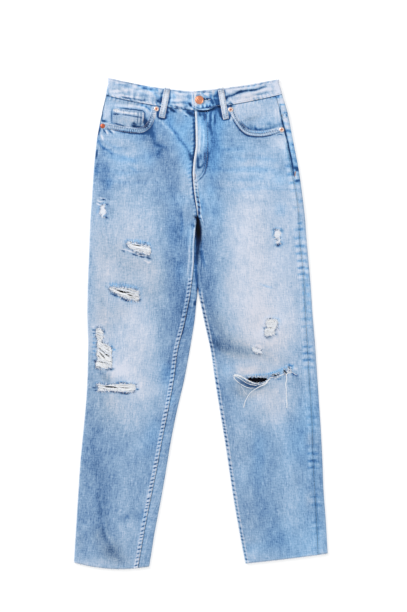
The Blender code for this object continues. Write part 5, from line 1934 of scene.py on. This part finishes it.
# %% Stitches and bartacks
def stitches(line, over, below=False, pitch=3.5, length=2.7):
    """Short arcs along a plan line, each sinking into the cloth at both ends."""
    line, along = resampled(line, pitch)
    found = []
    for start, end in zip(line, line[1:]):
        share = np.array((0.0, 0.22, 0.78, 1.0))[:, None] * length / pitch
        found.append(start + (end - start) * share)
    points = np.concatenate(found)
    z = heights(points[:, 0], points[:, 1], over, below)
    arc = np.tile((-0.15, 0.22, 0.22, -0.15), len(found)) * (-1 if below else 1)
    return list(np.c_[points, z + arc].reshape(len(found), 4, 3))


STITCH_WIDTH = 0.62


def bartack(x, y, length, turn, over, width=2.4, below=False):
    """A dense bar of crosswise stitches, turned from upright by this many degrees."""
    turn = math.radians(turn)
    along = np.array((math.sin(turn), math.cos(turn)))
    across = np.array((along[1], -along[0]))
    found = []
    for place in np.arange(-length / 2, length / 2, STITCH_WIDTH):
        centre = np.array((x, y)) + along * place
        line = np.array([centre + across * width / 2 * s for s in (-1, -0.5, 0.5, 1)])
        arc = np.array((-0.1, 0.4, 0.4, -0.1)) * (-1 if below else 1)
        found.append(np.c_[line, heights(line[:, 0], line[:, 1], over, below) + arc])
    return found


print("a stitch is", STITCH_WIDTH, "mm thick")

# %% Rows of stitches
sewing, tones, tans = [], [], []


def sew(lines, tone=0.42, tan=0.0):
    sewing.extend(lines)
    tones.extend(tone + CHANCE.uniform(-0.1, 0.1, len(lines)))
    tans.extend([tan] * len(lines))


BAND, COIN_SKIN = ("waistband_strip",), ("coin_pocket_patch",)
SKIN = {side: tuple(f"{kind}_{side}_panel" for kind in ("front", "back", "yoke")) for side in HALVES}
for side, half in HALVES.items():
    for seam, away in (("waist", 2.6), ("band", -2.6)):
        for low, high in ((0.02, 0.995), (-0.995, -0.02)):
            line = half.line(lambda y, reach: np.linspace(low, high, 160) * reach, seam, away)
            sew(stitches(line, BAND, low < 0), 0.5)
    down = np.arange(88.0 if side == "right" else 62.0, -476.0, -8.0)
    for away in (2.0, 7.2):
        line = half.line(lambda y, reach: reach - half.seam_place("inseam", y) - away, down)
        sew(stitches(line, SKIN[side]), 0.34)
    for away in (1.8, 7.6):
        line = half.line(lambda y, reach: np.linspace(-1, -0.05, 120) * reach, "yoke", away)
        sew(stitches(line, SKIN[side], True), 0.4)
        if side == "left":
            folded = lambda y, reach: half.seam_place("outseam", y) * np.linspace(0.3, 0.95, 9)
            sew(stitches(half.line(folded, "yoke", away), SKIN[side]), 0.2)
left = HALVES["left"]
down = np.arange(288.0, 214.0, -6.0)
for away in (1.6, 6.6):
    sew(stitches(left.line(lambda y, reach: reach - away, down), SKIN["left"]), 0.4)
HOLE_CENTRE = (4.8, 446.0)
# The two rows of the fly's curve.
J_ROWS = (
    (13.6, 424, 13.6, 380, 13.4, 340, 12, 316, 6, 298, -3, 287.5, -12, 281),
    (8.6, 424, 8.6, 380, 8.4, 344, 7.4, 322, 2.6, 305, -4.5, 296, -12, 291),
)
for row in J_ROWS:
    sew(stitches(smooth_line(row, 8), SKIN["left"]), 0.36)
for side in HALVES:
    for away in (0.6, 5.9):
        sew(stitches(outward_from(MOUTHS[side][4:], side, away), (f"mouth_{side}",)), 0.08)
for ends, tone in (
    (((-173, 427.6), (-115.5, 421.6)), 0.06), (((-173.5, 418), (-115.5, 412.4)), 0.06),
    (((-173.2, 429), (-174, 401)), 0.3), (((-168.4, 429), (-169.2, 401)), 0.3),
    (((-115.6, 423), (-117.2, 400)), 0.3), (((-120.4, 423), (-122, 400)), 0.3),
):
    sew(stitches(ends, COIN_SKIN), tone)
for name, line in LOOPS.items():
    line = np.array(smooth_line(line, 8) if len(line) > 2 else line, float)
    for away in (-4.2, 4.2):
        sew(stitches(line + normals_of(line) * away, (f"{name}_strip",), "back" in name), 0.45)
    for end, turn in ((line[0] - (0, 3), 90), (line[-1] + (0, 2.6), 90)):
        sew(bartack(*end, 9.5, turn, (f"{name}_strip",), 2.2, "back" in name), 0.5)
for side, outline in POCKETS.items():
    centre = np.mean(outline, axis=0)
    for inset in (0.965, 0.885):
        line = centre + (np.array(outline[2:] + outline[:1]) - centre) * inset
        sew(stitches(line, (f"pocket_back_{side}_patch",), True), 0.4)
    for drop in (3.0, 15.0):
        top = np.array(outline[:3]) - (0, drop)
        sew(stitches(centre + (top - centre) * (0.965, 1), (f"pocket_back_{side}_patch",), True), 0.4)
sew(bartack(-11.6, 293, 12, 4, SKIN["left"]), 0.5, 0.2)
sew(bartack(188.3, 299, 10, 8, SKIN["left"]), 0.5, 0.75)
sew(bartack(-172, 426.5, 9, 85, COIN_SKIN), 0.9)
for x, y in BUTTONHOLE[::2]:
    out = np.array((x, y)) - HOLE_CENTRE
    out = np.array((0, np.sign(out[1]))) if abs(out[0]) < 5 else out / np.hypot(*out)
    line = np.array([np.array((x, y)) + out * s for s in (-0.3, 0.2, 1.3, 1.8)])
    sew([np.c_[line, heights(line[:, 0], line[:, 1], BAND) + (-0.6, 0.2, 0.25, -0.1)]], 0.95)
threads("stitching", sewing, [STITCH_WIDTH] * len(sewing), tones, tans)

# %% Loose thread
lines, thick, tone = [], [], []


def loose(line, width, shade):
    lines.append(line)
    thick.append(width)
    tone.append(shade)


WEFT_STEP = 0.36
# Bundles of long threads at the torn knee: x and y of the points, how many threads, and their spread.
HANGING = (
    ((65, -105, 72, -103, 80, -105.5, 88, -110, 97, -115, 106, -119, 116, -121.4, 127, -119, 134, -114,
     139, -109.5), 6, 3),
    ((65, -106, 69, -112, 78, -120, 88, -126, 98, -129, 106, -129), 3, 1.6),
    ((134, -116, 128, -121.5, 119, -125.5, 108, -131.5, 99, -138.5, 93, -147, 88, -158, 85.6, -169), 4,
     1.8),
    ((66, -103, 75, -108, 84, -114, 92, -119, 100, -122, 112, -124), 3, 1.8),
    ((80, -124, 84, -132, 88, -138, 91, -143), 1, 0),
    ((136, -110, 142, -107.5, 150, -108.5, 157, -104.5, 165, -102, 170, -103), 3, 1.4),
    ((171, -102, 174, -99, 178, -95.5, 181, -91), 5, 3),
    ((176, -97, 183, -98, 188, -101, 193, -103), 3, 1.6),
    ((171, -100, 171.4, -112, 169.8, -122, 171.6, -134, 171, -148, 172.4, -160, 171.6, -169), 5, 2.4),
    ((66, -101, 72, -104, 82, -107), 4, 4),
)
# Which way round each outline runs, so that fluff can point away from its hole.
RIM = {name: np.sign(area_of(loop)) for name, loop in OUTLINES.items()}


def pushed(line, slits, turned):
    """Threads part round each slit, most at its middle."""
    for widest, *points in slits:
        path = turned(smooth_line(points, 4))
        path = path[np.argsort(path[:, 0])]
        share = (line[:, 0] - path[0, 0]) / (path[-1, 0] - path[0, 0])
        half = widest * np.sqrt(np.clip(4 * share * (1 - share), 0, 1)) + 1e-6
        away = line[:, 1] - np.interp(line[:, 0], path[:, 0], path[:, 1])
        line[:, 1] += np.where(away < 0, -1, 1) * half * np.exp(-np.abs(away) / (1.6 * half + 0.6))
    return line


def weft(rip, loop):
    """White crosswise threads from one side of a hole to the other."""
    turn = math.radians(rip.turn)
    spin = np.array(((math.cos(turn), -math.sin(turn)), (math.sin(turn), math.cos(turn))))
    ring = loop @ spin
    found = []
    for t in np.arange(ring[:, 1].min() + 0.3, ring[:, 1].max(), WEFT_STEP / rip.fill):
        before, after = ring[:, 1] - t, np.roll(ring[:, 1], -1) - t
        cut = before * after < 0
        share = (before[cut] / (before[cut] - after[cut]))[:, None]
        ends = np.sort((ring[cut] + (np.roll(ring, -1, axis=0)[cut] - ring[cut]) * share)[:, 0])
        for low, high in zip(ends[::2], ends[1::2]):
            along = np.linspace(low - 1.0, high + 1.0, max(int((high - low) / 2), 4) + 1)
            wander = np.interp(along, np.linspace(low, high, 5), CHANCE.normal(0, 0.34, 5))
            line = np.c_[along, t + wander]
            found.append(pushed(line, rip.slits, lambda points: points @ spin) @ spin.T)
    return found


def fluff(x, y, z, away, length, shade):
    turn = math.atan2(*away) + CHANCE.normal(0, 0.5)
    tip = np.array((x + length * math.sin(turn), y + length * math.cos(turn)))
    middle = np.array((x, y)) * 0.5 + tip * 0.5 + CHANCE.normal(0, 0.3, 2)
    loose(np.array(((x, y, z - 0.35), (*middle, z + 0.3), (*tip, z + 0.15))), CHANCE.uniform(0.4, 0.7), shade)


print(len(HANGING), "bundles hang at the torn knee")

# %% Loose thread over the rips
for number, (name, rip) in enumerate(RIPS.items()):
    skin = (f"front_{rip.side}_panel",)
    for line in weft(rip, OUTLINES[name]) if rip.fill else ():
        level = surface(line[:, 0], line[:, 1], skin, uncut=True)
        z = level - 0.15 + CHANCE.normal(0, 0.3) + CHANCE.normal(0, 0.12, len(line))
        z[[0, -1]] = level[[0, -1]] - 0.6
        loose(np.c_[line, z], CHANCE.uniform(0.6, 0.85), CHANCE.uniform(0.74, 1.04))
    loop, along = resampled(np.concatenate((OUTLINES[name], OUTLINES[name][:1])), 0.5)
    level = surface(loop[:, 0], loop[:, 1], skin, uncut=True)
    tint = mottle(along, along * 0, 1.7, 1, 70 + number)
    for (x, y), z, (nx, ny), pale in zip(loop, level, normals_of(loop), tint):
        steep = abs(ny) > 0.35
        if not steep and CHANCE.random() < 0.5:
            continue
        out = -RIM[name] * (1 if CHANCE.random() < (0.7 if rip.fill else 0.95) else -0.6)
        shade = CHANCE.uniform(0.8, 1.0) if pale > 0.05 else CHANCE.uniform(0.0, 0.34)
        length = CHANCE.uniform(1.5, 6.0) if steep else CHANCE.uniform(1.0, 2.5)
        length *= 1 if rip.fill or out * RIM[name] < 0 else 0.4
        fluff(x, y, z, (nx * 0.3 * out, ny * out + 0.01), length, shade)
for points, count, spread in HANGING:
    path, along = resampled(smooth_line(points, 6), 2.2)
    level = surface(path[:, 0], path[:, 1], ("front_left_panel",), uncut=True)
    for number in range(count):
        offset = spread * ((number + 0.5) / count - 0.5) * (0.5 + 0.5 * np.cos(along / along[-1] * 5))
        wander = np.interp(along, np.linspace(0, along[-1], 5), CHANCE.normal(0, 0.3, 5))
        z = level + 0.25 + CHANCE.normal(0, 0.12, len(path))
        line = np.c_[path + normals_of(path) * (offset + wander)[:, None], z]
        loose(line, CHANCE.uniform(0.5, 0.75), CHANCE.uniform(0.85, 1.0))
threads("rip_threads", lines, thick, tone)

# %% The knot of threads at the torn knee, and the fringe of the raw hems
lines, thick, tone = [], [], []
for x, y in ((177, -93), (180, -96), (176, -98), (174, -96), (179, -99)):
    for _ in range(7):
        turn = np.linspace(0, CHANCE.uniform(3, 6), 9)
        size = CHANCE.uniform(1.0, 2.4)
        z = surface([x], [y], ("front_left_panel",), uncut=True)[0] + 0.5
        knot = np.c_[x + size * np.cos(turn), y + size * np.sin(turn) * 0.8, z + 0.6 * np.sin(turn * 1.3)]
        loose(knot, 0.5, CHANCE.uniform(0.85, 1.0))
threads("hanging_threads", lines, thick, tone)

lines, thick, tone = [], [], []
for side, half in HALVES.items():
    for low, high in ((0.01, 0.99), (-0.99, -0.01)):
        edge = half.line(lambda y, reach: np.linspace(low, high, 260) * reach, "hem")
        names = [f"{'front' if low > 0 else 'back'}_{side}_panel", f"back_{side}_panel"]
        level = heights(edge[:, 0], edge[:, 1] + 1.0, names, low < 0)
        for (x, y), z in zip(edge, level):
            z = z - 0.5 if low > 0 else z + 0.5
            turn, length = CHANCE.normal(0, 0.35), CHANCE.uniform(0.5, 2.6)
            low_z = max(z + CHANCE.normal(0, 0.4), 0.2)
            tip = (x + length * math.sin(turn), y - length * math.cos(turn), low_z)
            hair = np.array(((x, y + 0.8, z), (x, y - 0.1, z), tip))
            loose(hair, CHANCE.uniform(0.3, 0.55), CHANCE.uniform(0.45, 0.95))
threads("hem_fringe", lines, thick, tone)

# %% [markdown]
# ## Metal
#
# The button and the rivets are turned parts: a profile spun round its own axis. Copper that has been
# washed many times is dull in patches. The pale outer ring of three rivets is partly their own colour
# and partly a painted highlight.

# %% Copper
def copper(name, colour, dull, rough=0.32):
    finish = Finish(name, Metallic=0.75, Specular_IOR_Level=0.5)
    place = finish.add("ShaderNodeTexCoord", out=3)
    wear = finish.noise(place, (700, 700, 700), 3.0)
    fine = finish.noise(place, (3000, 3000, 3000), 2.0)
    tint = finish.mix((wear * 1.6 + 0.5).clamped(), colour, dull)
    return finish.done(tint, finish.bump(wear + fine * 0.4, 0.00015), (wear * 0.3 + rough).clamped())


COPPER = copper("copper", blue(236, 164, 130), blue(206, 132, 102))
RED_COPPER = copper("red_copper", blue(214, 116, 84), blue(160, 78, 58))
# A pale ring for rivets 2 to 4: partly the rivets' own colour, partly a painted highlight.
PALE_RING = copper("worn_ring", blue(246, 226, 216), blue(222, 188, 168))
print("metals:", COPPER.name, RED_COPPER.name, PALE_RING.name)


# %% Button and rivets
def turned_shape(profile, steps=40):
    shape = bmesh.new()
    verts = [shape.verts.new((r, 0, z)) for r, z in profile]
    edges = [shape.edges.new(pair) for pair in zip(verts, verts[1:])]
    bmesh.ops.spin(shape, geom=verts + edges, cent=(0, 0, 0), axis=(0, 0, 1), angle=math.tau, steps=steps,
                   use_merge=True)
    bmesh.ops.remove_doubles(shape, verts=shape.verts, dist=1e-4)
    bmesh.ops.recalc_face_normals(shape, faces=shape.faces)
    return shape


def turned(name, profile, place, materials, inner=0.0, tilt=(0.0, 0.0)):
    """A spun part. Faces nearer the axis than inner take the second material."""
    shape = turned_shape(profile)
    for face in shape.faces:
        centre = face.calc_center_median()
        face.material_index = int(math.hypot(centre.x, centre.y) < inner)
    for vert in shape.verts:
        vert.co.z += vert.co.x * tilt[0] + vert.co.y * tilt[1]
    bmesh.ops.translate(shape, vec=Vector(place), verts=shape.verts)
    piece = finished(name, shape, materials[0], "copper")
    for extra in materials[1:]:
        piece.data.materials.append(extra)
    smooth_surface(piece.data, 35)
    return piece


BUTTON = ((0, 3.0), (1.6, 2.95), (2.1, 2.55), (2.5, 2.5), (3.0, 2.9), (4.6, 2.95), (5.2, 2.55), (6.3, 2.5),
          (6.9, 3.0), (7.6, 3.35), (8.2, 3.2), (8.5, 2.6), (8.3, 1.9), (7.4, 1.5), (3.0, 1.2), (2.6, 0.6),
          (2.6, -1.4), (0, -1.4))
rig.replaces(turned("jeans_button", BUTTON, (-3, 446, 11.9), (COPPER,)), "button")
RIVET = ((0, 1.35), (0.9, 1.3), (1.5, 1.05), (1.8, 0.55), (2.5, 0.5), (3.3, 0.85), (4.1, 0.75), (4.7, 0.4),
         (4.8, 0.0), (4.6, -0.5), (0, -0.5))
SOLID_RIVET = ((0, 1.3), (1.8, 1.25), (3.2, 1.0), (4.2, 0.6), (4.7, 0.2), (4.8, -0.1), (4.6, -0.5), (0, -0.5))
RIVET_PLACES = ((-196, 394.5), (-88.5, 428.5), (59.6, 427), (161.5, 387))
for number, (x, y) in enumerate(RIVET_PLACES, 1):
    side = "right" if x < 0 else "left"
    names = (f"front_{side}_panel", f"mouth_{side}")
    z = float(max(surface([x, x + 1.5, x - 1.5], [y, y, y], names))) + 0.2
    looks = (RED_COPPER,) if number == 1 else (PALE_RING, RED_COPPER)
    piece = turned(f"rivet_{number}_cap", SOLID_RIVET if number == 1 else RIVET, (x, y, z), looks, 1.9)
    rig.replaces(piece, f"rivet_{number}")
print("a button and", len(RIVET_PLACES), "rivets")

# %% Zip
ZIP_X = -4
TAPE = ((-16, 300), (8, 300), (8, 420), (-16, 420))
TAPE_FINISH = reverse_side("tape", blue(64, 84, 118))
tape = patch("zip_tape_strip", TAPE, 5.4, 0.0, 0.1, 650, TAPE_FINISH, 0.6, step=2.0, slot="zip_tape")
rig.replaces(tape, "zip")
teeth = bmesh.new()
boxes = [((3.4, 0.7, 0.7), (ZIP_X + (0.9 if number % 2 else -0.9), y, 5.75))
         for number, y in enumerate(np.arange(303, 416, 1.2))]
slider = ((7, 9, 0.8), (ZIP_X, 412, 5.8))
for size, place in (*boxes, slider):
    made = bmesh.ops.create_cube(teeth, size=1.0)["verts"]
    bmesh.ops.scale(teeth, vec=size, verts=made)
    bmesh.ops.translate(teeth, vec=place, verts=made)
bmesh.ops.bevel(teeth, geom=teeth.edges[:], offset=0.12, segments=1, profile=0.5, affect="EDGES", material=-1)
zip_teeth = finished("zip_teeth", teeth, RED_COPPER, "copper")
smooth_surface(zip_teeth.data, 40)
print(len(boxes), "zip teeth")

# %% [markdown]
# ## The cloth as it was cut
#
# Every piece of cloth states the size of its own flat cut, what it lies on, and the separate pieces
# that belong on it.

# %% Sheets
ON_TOP = {
    "waistband_strip": ("jeans_button",),
    "front_right_panel": ("rivet_1_cap", "rivet_2_cap"),
    "front_left_panel": ("rivet_3_cap", "rivet_4_cap", "rip_threads", "hanging_threads", "hem_fringe",
                         "stitching"),
    "zip_tape_strip": ("zip_teeth",),
}
for piece, (width, length), area, over in SHEETS:
    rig.sheet(piece, flat=(width * MM, length * MM), held="laid", rests_on=over, area=area * MM**2,
             with_pieces=ON_TOP.get(piece.name, ()))
print(len(SHEETS), "sheets")

# %% [markdown]
# ## Floor, light and camera
#
# The camera looks straight down through a long lens, so the outline isn't bent by perspective. The
# light is soft and broad, brightest from the upper left, which is enough to model folds a millimetre
# high. The floor is pale and the air round it white.

# %% Floor and light
# Each lamp: where it hangs, its width in metres, its power in watts.
LAMPS = (("key", (-1.9, 1.5, 2.1), 1.6, 62.0), ("fill", (1.8, -1.2, 2.6), 2.2, 16.0))


def stage():
    shape = bmesh.new()
    bmesh.ops.create_grid(shape, x_segments=1, y_segments=1, size=4.0)
    bmesh.ops.translate(shape, vec=(0, 0, -0.0004), verts=shape.verts)
    mesh = bpy.data.meshes.new("floor")
    shape.to_mesh(mesh)
    shape.free()
    floor = linked("floor", mesh)
    # A little light from the floor itself, as from a light table, keeps the shadows round the cloth soft.
    finish = Finish("pale_floor", Roughness=0.95, Specular_IOR_Level=0.1, Emission_Color=(1, 1, 1, 1),
                    Emission_Strength=0.6)
    mesh.materials.append(finish.done(blue(176, 176, 176)))
    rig.stage(floor)
    world = bpy.data.worlds.new("studio")
    bpy.context.scene.world = world
    world.use_nodes = True
    world.node_tree.nodes["Background"].inputs["Color"].default_value = (1, 1, 1, 1)
    world.node_tree.nodes["Background"].inputs["Strength"].default_value = 0.66
    for name, place, size, power in LAMPS:
        lamp = bpy.data.lights.new(name, "AREA")
        lamp.size, lamp.energy = size, power
        holder = linked(name, lamp)
        holder.location = place
        holder.rotation_euler = (-Vector(place)).to_track_quat("-Z", "Y").to_euler()
    bpy.context.scene.view_settings.view_transform = "Standard"


stage()
print(len(LAMPS), "lamps over a pale floor")

# %% Camera
LENS, SENSOR, VIEW_HEIGHT = 135.0, 36.0, 1.224
VIEW_CENTRE = (0.0053, 0.035)


def camera():
    lens = bpy.data.cameras.new("camera")
    lens.lens, lens.sensor_width = LENS, SENSOR
    eye = linked("camera", lens)
    eye.location = (*VIEW_CENTRE, VIEW_HEIGHT * LENS / SENSOR)
    bpy.context.scene.camera = eye


camera()
print("the camera hangs", round(bpy.context.scene.camera.location.z, 2), "m above the floor")

# %% [markdown]
# ## Closing
#
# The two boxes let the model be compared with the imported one: cloth may stand a little proud of it.

# %% Sizes and the end
boxes = {"cad": [list(corner) for corner in CAD_BOX], "visual": [list(corner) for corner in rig.bounds()]}
with open("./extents.json", "w") as size_file:
    json.dump(boxes, size_file)
print(boxes)
